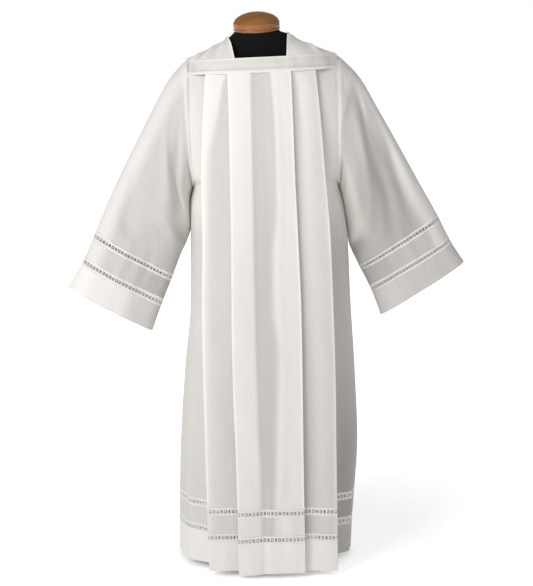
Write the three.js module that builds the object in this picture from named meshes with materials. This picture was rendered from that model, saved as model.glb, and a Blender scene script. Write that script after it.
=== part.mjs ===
// A pleated white alb with a square neck and lace insertion, on a limbless dress form.
// Units are millimetres, +Z is up, the front of the garment looks along -Y, and left and
// right are as seen from in front. The origin is the middle of the stand's underside.

import * as THREE from 'three';

// ---------------------------------------------------------------- driving dimensions

const CLOTH = 1.2;            // wall of every cloth panel
const BAND_CLOTH = 2.0;       // the folded yoke bands are double
const SEAM = 0.3;             // gap left between two pieces at their seam
const SLEEVE_SEAM = 0.6;      // the same along a sleeve, whose rings fan out
const LAYER = 2.0;            // spacing of the layers in a pleat, middle to middle

const HEM = 15;               // height of the hem above the floor
const LOWER_LACE = 110;       // height of the middle of the lower skirt lace
const UPPER_LACE = 183;       // height of the middle of the upper skirt lace
const LACE_HALF = 11;         // half the height of a lace insertion
const BAND_LOW = 1371;        // height of the yoke seam
const BAND_TOP = 1410;        // height of the upper edge of the yoke band
const BAND_END_DROP = 5;      // how much lower that edge is at the armholes
const BAND_HALF = 200;        // half the length of the yoke band
const BAND_PROUD = 4;         // how far the band stands in front of the panel at its middle
const BAND_INSET = 3;         // how far its upper edge leans in at the middle
const BAND_END_DEPTH = 29;    // depth of its upper corner at the armhole
const BAND_BULGE = 1.5;       // round of its face
const BAND_STEPS = 20;        // facets along it
const ARMPIT = 1066;          // height of the bottom of the armholes
const UNDERLAY = 60;          // cloth that each pleat folds under, one layer
const BOX_HOLLOW = 3;         // depth of the soft hollow down the middle of a box pleat
const FLAT_CURVE = 2.4;       // exponent of a panel's curve back towards its sides
const SIDE_PULL = 0.38;       // roundness of the body's sides
const SIDE_STEPS = 5;         // facets on each of them

const SHOULDER_COLUMNS = 6;   // facets of a shoulder from the neck to the armhole
const SHOULDER_ROWS = 12;     // and from the front band to the back band
const SHOULDER_ARCH = 2.2;    // exponent of its arch over the ridge
const NECK_SPLAY = 1.5;       // exponent of the neck's sides between the band and the ridge

const LEAN = 0.046;           // the right shoulder is higher: rise for each mm of x
const LEAN_START = 900;       // the lean grows from this height
const LEAN_FULL = 1300;       // to its full value at this one

const CUFF_LACE_LOW = 85;     // cuff edge to the middle of the lower sleeve lace
const CUFF_LACE_HIGH = 161;   // cuff edge to the middle of the upper sleeve lace
const SLEEVE_POINTS = 24;     // points round a sleeve
const ARM_CLEAR = 0.6;        // end of a shoulder to the plane of the armhole
const ARM_SQUARENESS = 2.5;   // exponent of a sleeve's section, 2 is an ellipse

const FORM_GAP = 0.7;         // the shoulders' rest on the form
const FORM_POINTS = 28;       // points round the form
const FORM_SQUARENESS = 2.1;  // exponent of the form's section
const NECK_X = -14;           // middle of the neck
const NECK_HEIGHT = 1480;     // height of the middle of the neck's top
const NECK_RADIUS = 59;
const NECK_PITCH = 0.14;      // fall of the neck's top towards the front, for each mm
const CAP_RADIUS = 61.5;
const CAP_SIDE = 21;
const CAP_DOME = 28;
const CAP_EDGE = 2;           // round of the cap's lower edge
const CAP_STEPS = 6;          // facets up the dome
const CAP_FULLNESS = 0.8;     // exponent of the dome's profile, 1 is an ellipse
const TORSO_FOOT = 800;
const POLE_RADIUS = 16;
const BASE_RADIUS = 150;
const BASE_THICK = 10;
const BASE_EDGE = 3;          // round of the base plate's upper edge

// ---------------------------------------------------------------------------- tables

// One row for each section of the body, from the yoke down. left and right are the side
// edges, front and back the depth of the flat of the panel, edge the depth of the panel's
// side edge (on the armhole above the armpit, at the side seam below it), drop how far
// the panel curves back from its middle to its side edge, and slant how far in from the
// side edge the curve of the side has its corner.
const BODY = table(
  ['height', 'left', 'right', 'front', 'back', 'edge', 'drop', 'slant'],
  [
    [BAND_LOW, -202.2, 202, 121, 111, 61, 60, 30],
    [1320, -199.9, 203.4, 127, 114, 76, 46, 30],
    [1240, -196.1, 205.4, 133, 118, 84, 38, 30],
    [1160, -192.5, 207.6, 138, 122, 78, 32, 24],
    [1105, -189.9, 209.1, 142, 125, 60, 28, 12],
    [1078, -188.7, 209.8, 144, 126, 38, 26, 4],
    [ARMPIT, -188, 210, 145, 127, 0, 25, 0],
    [1010, -198.5, 223.5, 148, 130, 0, 20, 0],
    [935, -197.5, 235.5, 152, 134, 0, 16, 0],
    [735, -199, 247, 166, 148, 0, 11, 0],
    [534, -217, 261, 179, 162, 0, 8, 0],
    [330, -230, 270, 192, 176, 0, 7, 0],
    [UPPER_LACE + LACE_HALF, -234, 263, 200, 185, 0, 6, 0],
    [LOWER_LACE - LACE_HALF, -235, 257, 203, 188, 0, 6, 0],
    [HEM, -236, 254, 206, 191, 0, 6, 0],
  ],
);

// The pleats of the front: the x of the four fold edges from left to right, how far the
// box stands in front of the flats at its two edges, and how far behind the flats the
// cloth outside the outer folds lies, on the left and on the right.
const FRONT_FOLDS = table(
  ['height', 'a', 'b', 'c', 'd', 'boxLeft', 'boxRight', 'stepLeft', 'stepRight'],
  [
    [BAND_LOW, -151, -91, 77, 143, 4, 4, 4, 4],
    [1240, -158, -87, 83, 157, 5, 5, 5, 6],
    [1105, -162, -85, 88, 169, 6, 6, 7, 10],
    [935, -159, -82, 97, 184, 7, 7, 10, 18],
    [735, -161, -81, 106, 193, 9, 8, 16, 36],
    [534, -158, -78, 110, 200, 11, 10, 24, 58],
    [330, -153, -70, 113, 203, 14, 12, 32, 80],
    [HEM, -144, -62, 119, 209, 18, 14, 38, 96],
  ],
);

// The pleats of the back, in the same columns, seen from behind.
const BACK_FOLDS = table(
  ['height', 'a', 'b', 'c', 'd', 'boxLeft', 'boxRight', 'stepLeft', 'stepRight'],
  [
    [BAND_LOW, -146, -82, 84, 148, 4, 4, 4, 4],
    [1105, -163, -86, 85, 158, 6, 6, 8, 7],
    [935, -172, -92, 84, 156, 7, 7, 11, 9],
    [735, -184, -99, 86, 160, 8, 9, 17, 14],
    [534, -192, -104, 84, 164, 10, 11, 28, 24],
    [330, -198, -108, 82, 163, 12, 13, 40, 34],
    [HEM, -204, -114, 78, 158, 14, 16, 50, 42],
  ],
);

// Height of the shoulder cloth over the ridge of the shoulder, by its distance from the
// middle of the shoulders.
const RIDGE_X = -7;
const RIDGE = table(
  ['away', 'height'],
  [
    [74, 1472],
    [90, 1459.5],
    [105, 1450],
    [130, 1437.5],
    [160, 1425],
    [190, 1413],
    [212, 1405],
  ],
);

// The square neck: x of its two sides at the yoke band and where they cross the ridge.
const NECK = {
  left: { band: -72, ridge: -93 },
  right: { band: 65, ridge: 69 },
};

// The sleeves, by the distance from the cuff along them: the upper (outer) and lower
// (inner) edge of the sleeve, half its depth from front to back, and its middle's y.
const SLEEVE_COLUMNS = ['along', 'outX', 'outZ', 'inX', 'inZ', 'half', 'y'];
const SLEEVES = {
  left: table(SLEEVE_COLUMNS, [
    [0, -536, 777, -306, 655, 44, -22],
    [CUFF_LACE_LOW - LACE_HALF, -498, 842, -281, 724, 47, -19],
    [CUFF_LACE_HIGH + LACE_HALF, -458, 933, -246, 813, 51, -16],
    [260, -422, 1018, -226, 866, 58, -12],
    [370, -368, 1130, -209, 905, 67, -8],
    [480, -312, 1240, -199.3, 950, 76, -4],
    [600, -252, 1347, -200.2, 1012, 82, 0],
    [680, -205, 1401, -189, ARMPIT - 4, 84, 0],
  ]),
  right: table(SLEEVE_COLUMNS, [
    [0, 566, 839, 334.5, 689, 44, 36],
    [CUFF_LACE_LOW - LACE_HALF, 529, 894, 309, 756, 47, 31],
    [CUFF_LACE_HIGH + LACE_HALF, 486, 975, 271, 832, 51, 26],
    [260, 438, 1058, 254, 868, 58, 19],
    [370, 382, 1156, 245, 896, 67, 12],
    [480, 324, 1256, 237.6, 944, 76, 6],
    [600, 262, 1357, 225.5, 1012, 82, 2],
    [680, 202, 1416, 211, ARMPIT + 4, 84, 0],
  ]),
};

// The largest folds of the sleeves: troughs that run from one distance from the cuff to
// another, at a share of the way from the outer to the inner edge, on the front face
// (face -1) or the back (face 1).
const TROUGH_COLUMNS = ['face', 'from', 'to', 'shareFrom', 'shareTo', 'width', 'depth'];
const SLEEVE_TROUGHS = {
  left: table(TROUGH_COLUMNS, [
    [-1, 190, 440, 0.36, 0.16, 0.16, 13],
    [-1, 330, 660, 0.72, 0.78, 0.14, 10],
    [1, 180, 480, 0.5, 0.25, 0.17, 12],
  ]),
  right: table(TROUGH_COLUMNS, [
    [-1, 170, 640, 0.42, 0.14, 0.16, 14],
    [-1, 260, 520, 0.74, 0.62, 0.15, 11],
    [1, 180, 520, 0.46, 0.22, 0.17, 12],
  ]),
};

// The form: its body below the shoulders, its depth under the ridge of the shoulders, and
// its neck. x is the middle of a section and wide half its width.
const FORM_COLUMNS = ['height', 'x', 'wide', 'front', 'back', 'pitch'];
const FORM_BODY = table(FORM_COLUMNS, [
  [TORSO_FOOT, 0, 158, 104, 104, 0],
  [870, 0, 164, 108, 108, 0],
  [980, 0, 164, 110, 106, 0],
  [1080, 0, 165, 112, 103, 0],
  [1180, -2, 168, 113, 100, 0],
  [1290, -4, 174, 114, 98, 0],
  [1350, -5, 180, 100, 90, 0],
  [1390, -7, 187, 88, 80, 0],
]);
const FORM_SHOULDERS = table(
  ['away', 'front', 'back'],
  [
    [190, 80, 76],
    [160, 74, 72],
    [130, 70, 70],
    [105, 66, 66],
    [90, 64, 64],
    [74, 62, 62],
  ],
);
const FORM_NECK = table(FORM_COLUMNS, [
  [1474, NECK_X, 64, 61, 61, 0.07],
  [NECK_HEIGHT, NECK_X, NECK_RADIUS, NECK_RADIUS, NECK_RADIUS, NECK_PITCH],
]);

// ------------------------------------------------------------------- number helpers

function table(columns, rows) {
  return rows.map((row) => Object.fromEntries(columns.map((name, i) => [name, row[i]])));
}

// A row of a table at a value of its first column, straight between the rows given.
function rowAt(rows, key, value) {
  const rising = rows[rows.length - 1][key] > rows[0][key];
  const list = rising ? rows : [...rows].reverse();
  if (value <= list[0][key]) return list[0];
  const next = list.findIndex((row) => row[key] >= value);
  if (next < 0) return list[list.length - 1];
  const low = list[next - 1];
  const high = list[next];
  const share = (value - low[key]) / (high[key] - low[key]);
  return Object.fromEntries(
    Object.keys(low).map((name) => [name, THREE.MathUtils.lerp(low[name], high[name], share)]),
  );
}

// A sine or cosine pushed towards the corners of its box.
function squared(value, exponent) {
  return Math.sign(value) * Math.abs(value) ** (2 / exponent);
}

// The body leans: its right side stands a little higher towards the shoulders.
function leaned(x, y, z) {
  const share = THREE.MathUtils.clamp((z - LEAN_START) / (LEAN_FULL - LEAN_START), 0, 1);
  return new THREE.Vector3(x, y, z + LEAN * share * x);
}

// -------------------------------------------------------------------- mesh builders

function toGeometry(points, triangles) {
  const geometry = new THREE.BufferGeometry();
  const numbers = points.flatMap((point) => [point.x, point.y, point.z]);
  geometry.setAttribute('position', new THREE.Float32BufferAttribute(numbers, 3));
  geometry.setIndex(signedVolume(points, triangles) < 0 ? flipped(triangles) : triangles);
  geometry.computeVertexNormals();
  return geometry;
}

function signedVolume(points, triangles) {
  const cross = new THREE.Vector3();
  let sum = 0;
  for (let i = 0; i < triangles.length; i += 3) {
    const [a, b, c] = [0, 1, 2].map((k) => points[triangles[i + k]]);
    sum += cross.crossVectors(b, c).dot(a);
  }
  return sum;
}

function flipped(triangles) {
  const out = [];
  for (let i = 0; i < triangles.length; i += 3) {
    out.push(triangles[i], triangles[i + 2], triangles[i + 1]);
  }
  return out;
}

// A closed wall between two grids of points, rows by columns. A closed ring of columns
// has no side edges.
function wallBetween(outer, inner, ring) {
  const rows = outer.length;
  const columns = outer[0].length;
  const points = [...outer.flat(), ...inner.flat()];
  const inside = rows * columns;
  const at = (side, row, column) => side * inside + row * columns + (column % columns);
  const triangles = [];
  const quad = (a, b, c, d) => triangles.push(a, b, c, a, c, d);
  const last = ring ? columns : columns - 1;
  for (let row = 0; row < rows - 1; row += 1) {
    for (let column = 0; column < last; column += 1) {
      quad(at(0, row, column), at(0, row + 1, column),
        at(0, row + 1, column + 1), at(0, row, column + 1));
      quad(at(1, row, column), at(1, row, column + 1),
        at(1, row + 1, column + 1), at(1, row + 1, column));
    }
  }
  for (let column = 0; column < last; column += 1) {
    quad(at(0, 0, column), at(0, 0, column + 1), at(1, 0, column + 1), at(1, 0, column));
    quad(at(0, rows - 1, column), at(1, rows - 1, column),
      at(1, rows - 1, column + 1), at(0, rows - 1, column + 1));
  }
  if (!ring) {
    for (let row = 0; row < rows - 1; row += 1) {
      quad(at(0, row, 0), at(1, row, 0), at(1, row + 1, 0), at(0, row + 1, 0));
      quad(at(0, row, last), at(0, row + 1, last), at(1, row + 1, last), at(1, row, last));
    }
  }
  return toGeometry(points, triangles);
}

// A closed solid through rings of points, with flat ends.
function solidThrough(rings) {
  const count = rings[0].length;
  const points = rings.flat();
  const triangles = [];
  for (let row = 0; row < rings.length - 1; row += 1) {
    for (let i = 0; i < count; i += 1) {
      const a = row * count + i;
      const b = row * count + ((i + 1) % count);
      triangles.push(a, b, b + count, a, b + count, a + count);
    }
  }
  const top = (rings.length - 1) * count;
  for (let i = 1; i < count - 1; i += 1) {
    triangles.push(0, i + 1, i, top, top + i, top + i + 1);
  }
  return toGeometry(points, triangles);
}

// The grid moved by a distance along its own normals, away from the outside. Rows that
// lie on a seam stay in the plane of the seam, so that both pieces there agree.
function movedIn(grid, distance, ring, inwardOf) {
  return grid.map((row, j) => row.map((point, i) => {
    const above = grid[Math.max(j - 1, 0)][i];
    const below = grid[Math.min(j + 1, grid.length - 1)][i];
    const count = row.length;
    const before = ring ? row[(i + count - 1) % count] : row[Math.max(i - 1, 0)];
    const after = ring ? row[(i + 1) % count] : row[Math.min(i + 1, count - 1)];
    const down = new THREE.Vector3().subVectors(below, above);
    const along = new THREE.Vector3().subVectors(after, before);
    const normal = down.cross(along).normalize();
    const inward = inwardOf(j, i);
    if (normal.dot(inward) < 0) normal.negate();
    return point.clone().addScaledVector(normal, distance);
  }));
}

// ------------------------------------------------------------------ the pleated body

// Points on a soft corner from one point to another, the first point left out.
function sideCurve(from, corner, to) {
  const curve = new THREE.CubicBezierCurve(
    from, from.clone().lerp(corner, SIDE_PULL), to.clone().lerp(corner, SIDE_PULL), to,
  );
  return curve.getPoints(SIDE_STEPS).slice(1);
}

// The path of a panel's cloth in plan, from its left edge to its right, seen from
// outside: x to the right and y outwards.
function panelPath(body, folds, depth, left, right) {
  const point = (x, y) => new THREE.Vector2(x, y);
  const reach = (right - left) / 2;
  const middle = (right + left) / 2;
  const away = (x) => Math.min(Math.abs(x - middle) / reach, 1);
  const flat = (x) => depth - body.drop * away(x) ** FLAT_CURVE;
  const fold = (x, outside, inside, turn) => [
    point(x + turn * UNDERLAY, inside),
    point(x + turn * UNDERLAY, inside + LAYER),
    point(x, outside - LAYER),
    point(x, outside),
  ];
  const { a, b, c, d } = folds;
  const side = (start, step, end, turn) => {
    const from = point(start, flat(start) - step);
    const edge = point(end, body.edge + (body.edge ? 0 : SEAM / 2));
    return [from, ...sideCurve(from, point(end - turn * body.slant, from.y), edge)];
  };
  const box = (share, hollow) => {
    const x = THREE.MathUtils.lerp(b, c, share);
    const rise = THREE.MathUtils.lerp(folds.boxLeft, folds.boxRight, share);
    return point(x, flat(x) + rise - hollow * BOX_HOLLOW);
  };
  return [
    ...side(a, folds.stepLeft, left, -1).reverse(),
    ...fold(a, flat(a), flat(a) - folds.stepLeft, 1),
    point(b, flat(b)),
    ...fold(b, flat(b) + folds.boxLeft, flat(b + UNDERLAY), 1),
    box(0.37, 0),
    box(0.48, 1),
    box(0.65, 0),
    ...fold(c, flat(c) + folds.boxRight, flat(c - UNDERLAY), -1).reverse(),
    point(c, flat(c)),
    ...fold(d, flat(d), flat(d) - folds.stepRight, -1).reverse(),
    ...side(d, folds.stepRight, right, 1),
  ];
}

// A path moved sideways by a distance, mitred at its corners.
function beside(path, distance) {
  return path.map((point, i) => {
    const before = path[Math.max(i - 1, 0)];
    const after = path[Math.min(i + 1, path.length - 1)];
    const into = (i ? point.clone().sub(before) : after.clone().sub(point)).normalize();
    const out = (i < path.length - 1 ? after.clone().sub(point) : into.clone()).normalize();
    const normal = new THREE.Vector2(-into.y - out.y, into.x + out.x);
    return point.clone().addScaledVector(normal, distance / (1 + into.dot(out)));
  });
}

const FRONT = { side: -1, folds: FRONT_FOLDS, depth: 'front' };
const BACK = { side: 1, folds: BACK_FOLDS, depth: 'back' };

// The outside and the inside line of a panel's wall at one height.
function panelSection(panel, height) {
  const body = rowAt(BODY, 'height', height);
  const folds = rowAt(panel.folds, 'height', height);
  const turned = panel.side > 0;
  const left = turned ? -body.right : body.left;
  const right = turned ? -body.left : body.right;
  const path = panelPath(body, folds, body[panel.depth], left, right);
  const place = (point) => leaned(-panel.side * point.x, panel.side * point.y, height);
  return {
    outer: beside(path, CLOTH / 2).map(place),
    inner: beside(path, -CLOTH / 2).map(place),
  };
}

function panelBetween(panel, top, bottom) {
  const between = BODY.map((row) => row.height).filter((z) => z < top - 1 && z > bottom + 1);
  const sections = [top, ...between, bottom].map((z) => panelSection(panel, z));
  return wallBetween(
    sections.map((section) => section.outer),
    sections.map((section) => section.inner),
    false,
  );
}

// ------------------------------------------------------------------ yoke and shoulders

// Plan and height of the lower and the upper edge of a yoke band.
function bandEdges(panel, x) {
  const top = rowAt(BODY, 'height', BAND_LOW);
  const share = Math.min(Math.abs(x) / BAND_HALF, 1);
  const low = top[panel.depth] - (top[panel.depth] - top.edge) * share ** FLAT_CURVE;
  const crown = top[panel.depth] - BAND_INSET;
  const high = crown - (crown - BAND_END_DEPTH) * share ** 3;
  const proud = BAND_PROUD * (1 - share ** 4);
  return {
    low: leaned(x, panel.side * (low + proud), BAND_LOW + SEAM / 2),
    high: leaned(x, panel.side * high, BAND_TOP - BAND_END_DROP * share ** 4 - SEAM / 2),
  };
}

function yokeBand(panel) {
  const ends = rowAt(BODY, 'height', BAND_LOW);
  const grid = [[], [], []];
  for (let i = 0; i <= BAND_STEPS; i += 1) {
    const x = THREE.MathUtils.lerp(ends.left, ends.right, i / BAND_STEPS);
    const { low, high } = bandEdges(panel, x);
    const bulge = new THREE.Vector3(0, panel.side * BAND_BULGE, 0);
    grid[0].push(high);
    grid[1].push(low.clone().lerp(high, 0.5).add(bulge));
    grid[2].push(low);
  }
  const inward = () => new THREE.Vector3(0, -panel.side, 0);
  const inner = movedIn(grid, BAND_CLOTH, false, inward);
  [0, 2].forEach((row) => inner[row].forEach((point, i) => point.setZ(grid[row][i].z)));
  return wallBetween(grid, inner, false);
}

function shoulder(side) {
  const neck = NECK[side];
  const armhole = SLEEVES[side][SLEEVES[side].length - 1];
  const end = armhole.outX - Math.sign(armhole.outX) * ARM_CLEAR;
  const grid = [];
  for (let row = 0; row <= SHOULDER_ROWS; row += 1) {
    const across = (2 * row) / SHOULDER_ROWS - 1;
    const panel = across < 0 ? FRONT : BACK;
    const share = Math.abs(across);
    const edge = THREE.MathUtils.lerp(neck.ridge, neck.band, share ** NECK_SPLAY);
    const line = [];
    for (let column = 0; column <= SHOULDER_COLUMNS; column += 1) {
      const x = THREE.MathUtils.lerp(edge, end, column / SHOULDER_COLUMNS);
      line.push(shoulderPoint(panel, x, share));
    }
    grid.push(line);
  }
  const inward = () => new THREE.Vector3(0, 0, -1);
  return wallBetween(grid, movedIn(grid, CLOTH, false, inward), false);
}

// A point of the shoulder cloth, from the ridge (share 0) to the yoke band (share 1).
function shoulderPoint(panel, x, share) {
  const band = bandEdges(panel, x).high;
  const ridge = leaned(x, 0, rowAt(RIDGE, 'away', Math.abs(x - RIDGE_X)).height);
  const foot = band.z + SEAM * 1.5 + CLOTH;
  const z = ridge.z - (ridge.z - foot) * share ** SHOULDER_ARCH;
  return new THREE.Vector3(x, band.y * share, z);
}

// --------------------------------------------------------------------------- sleeves

function sleeveRing(side, along) {
  const row = rowAt(SLEEVES[side], 'along', along);
  const out = new THREE.Vector3(row.outX, row.y, row.outZ);
  const inn = new THREE.Vector3(row.inX, row.y, row.inZ);
  const middle = out.clone().lerp(inn, 0.5);
  const reach = out.clone().sub(middle);
  const points = [];
  for (let i = 0; i < SLEEVE_POINTS; i += 1) {
    const angle = (2 * Math.PI * i) / SLEEVE_POINTS;
    const lift = squared(Math.cos(angle), ARM_SQUARENESS);
    const face = -squared(Math.sin(angle), ARM_SQUARENESS);
    const trough = troughDepth(side, along, (1 - lift) / 2, Math.sign(face));
    const deep = face * row.half - Math.sign(face) * trough;
    points.push(middle.clone().addScaledVector(reach, lift).add(new THREE.Vector3(0, deep, 0)));
  }
  return points;
}

// How far the sleeve's largest folds push its wall in, at a place on it.
function troughDepth(side, along, share, face) {
  return SLEEVE_TROUGHS[side].reduce((sum, trough) => {
    const run = (along - trough.from) / (trough.to - trough.from);
    if (trough.face !== face || run <= 0 || run >= 1) return sum;
    const centre = THREE.MathUtils.lerp(trough.shareFrom, trough.shareTo, run);
    const off = Math.abs(share - centre) / trough.width;
    if (off >= 1) return sum;
    return sum + trough.depth * Math.sin(Math.PI * run) * Math.cos((Math.PI / 2) * off) ** 2;
  }, 0);
}

function sleeveBetween(side, high, low) {
  const rows = SLEEVES[side].map((row) => row.along).reverse();
  const between = rows.filter((along) => along < high - 1 && along > low + 1);
  const stations = [high, ...between, low];
  const grid = stations.map((along) => sleeveRing(side, along));
  const centres = grid.map((ring) => middleOf(ring));
  const inward = (j, i) => centres[j].clone().sub(grid[j][i]);
  const inner = movedIn(grid, CLOTH, true, inward);
  [0, grid.length - 1].forEach((j) => {
    inner[j] = intoPlane(grid[j], inner[j]);
  });
  return wallBetween(grid, inner, true);
}

function middleOf(points) {
  const sum = points.reduce((total, point) => total.add(point), new THREE.Vector3());
  return sum.divideScalar(points.length);
}

// Points beside a flat ring, moved back into the ring's own plane.
function intoPlane(ring, points) {
  const third = Math.floor(ring.length / 3);
  const side = ring[third].clone().sub(ring[0]);
  const normal = ring[2 * third].clone().sub(ring[0]).cross(side).normalize();
  return points.map((point) => {
    const away = point.clone().sub(ring[0]).dot(normal);
    return point.clone().addScaledVector(normal, -away);
  });
}

// ---------------------------------------------------------------------- dress form

function formRing(row) {
  const points = [];
  for (let i = 0; i < FORM_POINTS; i += 1) {
    const angle = (2 * Math.PI * i) / FORM_POINTS;
    const across = squared(Math.cos(angle), FORM_SQUARENESS);
    const deep = squared(Math.sin(angle), FORM_SQUARENESS);
    const y = deep * (deep < 0 ? row.front : row.back);
    const place = leaned(row.x + row.wide * across, y, row.height);
    points.push(place.setZ(place.z + row.pitch * y));
  }
  return points;
}

function formTorso() {
  const shoulders = FORM_SHOULDERS.map(({ away, front, back }) => {
    const height = rowAt(RIDGE, 'away', away).height - CLOTH - FORM_GAP;
    return { height, x: RIDGE_X, wide: away, front, back, pitch: 0 };
  });
  return solidThrough([...FORM_BODY, ...shoulders, ...FORM_NECK].map(formRing));
}

function formNeckCap() {
  const profile = [
    new THREE.Vector2(0, 0),
    new THREE.Vector2(CAP_RADIUS - CAP_EDGE, 0),
    new THREE.Vector2(CAP_RADIUS, CAP_EDGE),
  ];
  for (let i = 0; i < CAP_STEPS; i += 1) {
    const angle = (Math.PI / 2) * (i / CAP_STEPS);
    profile.push(new THREE.Vector2(
      CAP_RADIUS * Math.cos(angle) ** CAP_FULLNESS,
      CAP_SIDE + CAP_DOME * Math.sin(angle),
    ));
  }
  profile.push(new THREE.Vector2(0, CAP_SIDE + CAP_DOME));
  return new THREE.LatheGeometry(profile, 36).rotateX(Math.PI / 2);
}

function formPole() {
  const bottom = BASE_THICK + SEAM;
  const length = TORSO_FOOT - SEAM - bottom;
  const pole = new THREE.CylinderGeometry(POLE_RADIUS, POLE_RADIUS, length, 24);
  return pole.rotateX(Math.PI / 2).translate(0, 0, bottom + length / 2);
}

function formBase() {
  const profile = [
    new THREE.Vector2(0, 0),
    new THREE.Vector2(BASE_RADIUS, 0),
    new THREE.Vector2(BASE_RADIUS, BASE_THICK - BASE_EDGE),
    new THREE.Vector2(BASE_RADIUS - BASE_EDGE, BASE_THICK),
    new THREE.Vector2(0, BASE_THICK),
  ];
  return new THREE.LatheGeometry(profile, 48).rotateX(Math.PI / 2);
}

// ------------------------------------------------------------------------- assembly

const cotton = () => new THREE.MeshStandardMaterial({
  color: 0xf1f2f5, roughness: 0.85, metalness: 0, side: THREE.DoubleSide,
});
const lace = () => new THREE.MeshStandardMaterial({
  color: 0xe4e6ea, roughness: 0.9, metalness: 0, side: THREE.DoubleSide,
});
const jersey = () => new THREE.MeshStandardMaterial({
  color: 0x101012, roughness: 0.95, metalness: 0,
});
const varnishedWood = () => new THREE.MeshStandardMaterial({
  color: 0xa85a1c, roughness: 0.25, metalness: 0,
});
const paintedSteel = () => new THREE.MeshStandardMaterial({
  color: 0x2b2c2f, roughness: 0.45, metalness: 0.6,
});

const alb = new THREE.Group();

function add(name, geometry, material) {
  const mesh = new THREE.Mesh(geometry, material);
  mesh.name = name;
  alb.add(mesh);
  return mesh;
}

const SKIRT_SEAMS = [
  BAND_LOW,
  UPPER_LACE + LACE_HALF,
  UPPER_LACE - LACE_HALF,
  LOWER_LACE + LACE_HALF,
  LOWER_LACE - LACE_HALF,
  HEM,
];
const SKIRT_PIECES = ['panel', 'upper_lace', 'mid_band', 'lower_lace', 'hem_band'];
for (const [name, panel] of [['front', FRONT], ['back', BACK]]) {
  SKIRT_PIECES.forEach((piece, i) => {
    const top = SKIRT_SEAMS[i] - SEAM / 2;
    const bottom = SKIRT_SEAMS[i + 1] + (piece === 'hem_band' ? 0 : SEAM / 2);
    const material = piece.includes('lace') ? lace() : cotton();
    add(`${name}_${piece}`, panelBetween(panel, top, bottom), material);
  });
  add(`${name}_yoke_band`, yokeBand(panel), cotton());
}

const SLEEVE_SEAMS = [
  SLEEVES.left[SLEEVES.left.length - 1].along,
  CUFF_LACE_HIGH + LACE_HALF,
  CUFF_LACE_HIGH - LACE_HALF,
  CUFF_LACE_LOW + LACE_HALF,
  CUFF_LACE_LOW - LACE_HALF,
  0,
];
const SLEEVE_PIECES = ['sleeve', 'sleeve_upper_lace', 'sleeve_mid_band',
  'sleeve_lower_lace', 'cuff_band'];
for (const side of ['left', 'right']) {
  SLEEVE_PIECES.forEach((piece, i) => {
    const high = SLEEVE_SEAMS[i] - (i ? SLEEVE_SEAM / 2 : 0);
    const low = SLEEVE_SEAMS[i + 1] + (piece === 'cuff_band' ? 0 : SLEEVE_SEAM / 2);
    const material = piece.includes('lace') ? lace() : cotton();
    add(`${side}_${piece}`, sleeveBetween(side, high, low), material);
  });
  add(`${side}_shoulder`, shoulder(side), cotton());
}

add('form_torso', formTorso(), jersey());
const cap = add('form_neck_cap', formNeckCap(), varnishedWood());
cap.position.set(NECK_X, 0, NECK_HEIGHT + LEAN * NECK_X + SEAM);
cap.rotation.set(Math.atan(NECK_PITCH), -Math.atan(LEAN), 0);
add('form_pole', formPole(), paintedSteel());
add('form_base', formBase(), paintedSteel());

export default alb;
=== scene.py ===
"""A pleated white alb with a square neck and lace insertion, on a limbless dress form.

The tables are in millimetres and in the part's own frame: +Z is up, the front looks along
-Y, and left and right are as seen from in front. Everything made from them is in metres.
"""

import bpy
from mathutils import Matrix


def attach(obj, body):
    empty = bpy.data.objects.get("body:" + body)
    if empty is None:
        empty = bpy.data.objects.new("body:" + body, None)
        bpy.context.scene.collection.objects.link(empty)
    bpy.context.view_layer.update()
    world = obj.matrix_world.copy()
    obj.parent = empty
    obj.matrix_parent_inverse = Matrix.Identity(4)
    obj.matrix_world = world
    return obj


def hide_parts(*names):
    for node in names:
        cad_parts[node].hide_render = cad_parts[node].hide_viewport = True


bl_info = {
    "name": "Pleated Alb on a Dress Form",
    "version": (1, 0, 0),
    "blender": (4, 5, 0),
    "location": "3D View > Sidebar > Alb",
    "description": "Builds a pleated alb with lace insertion around its packed frame",
    "category": "Object",
}

import math

import bmesh
import bpy
import numpy as np
from bpy.props import FloatProperty, FloatVectorProperty, PointerProperty
from mathutils import Matrix, Vector

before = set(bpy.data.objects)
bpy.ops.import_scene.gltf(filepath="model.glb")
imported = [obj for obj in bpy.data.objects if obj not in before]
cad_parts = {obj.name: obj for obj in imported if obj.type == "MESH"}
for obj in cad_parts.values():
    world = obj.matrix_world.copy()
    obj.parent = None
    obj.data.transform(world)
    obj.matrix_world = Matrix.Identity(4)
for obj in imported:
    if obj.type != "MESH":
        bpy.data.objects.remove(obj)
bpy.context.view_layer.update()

MM = 0.001
BODY_NAME = "root"

# ---- the cut, in mm ----

HEM = 15
LOWER_LACE = 110
UPPER_LACE = 183
LACE_HALF = 11
BAND_LOW = 1371
BAND_TOP = 1410
ARMPIT = 1066
SEAM = 0.3  # the gap between two pieces that meet
UNDERLAY = 60  # how deep a pleat is folded under
FLAT_CURVE = 2.4  # how late a flat bends back towards its side
SIDE_PULL = 0.38  # how round the side of the body is
LEAN = 0.046  # rise of the body for each unit to the right, from LEAN_FULL up
LEAN_START = 900
LEAN_FULL = 1300
CUFF_LACE_LOW = 85  # along a sleeve places are distances from the cuff
CUFF_LACE_HIGH = 161
ARMHOLE = 680

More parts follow.
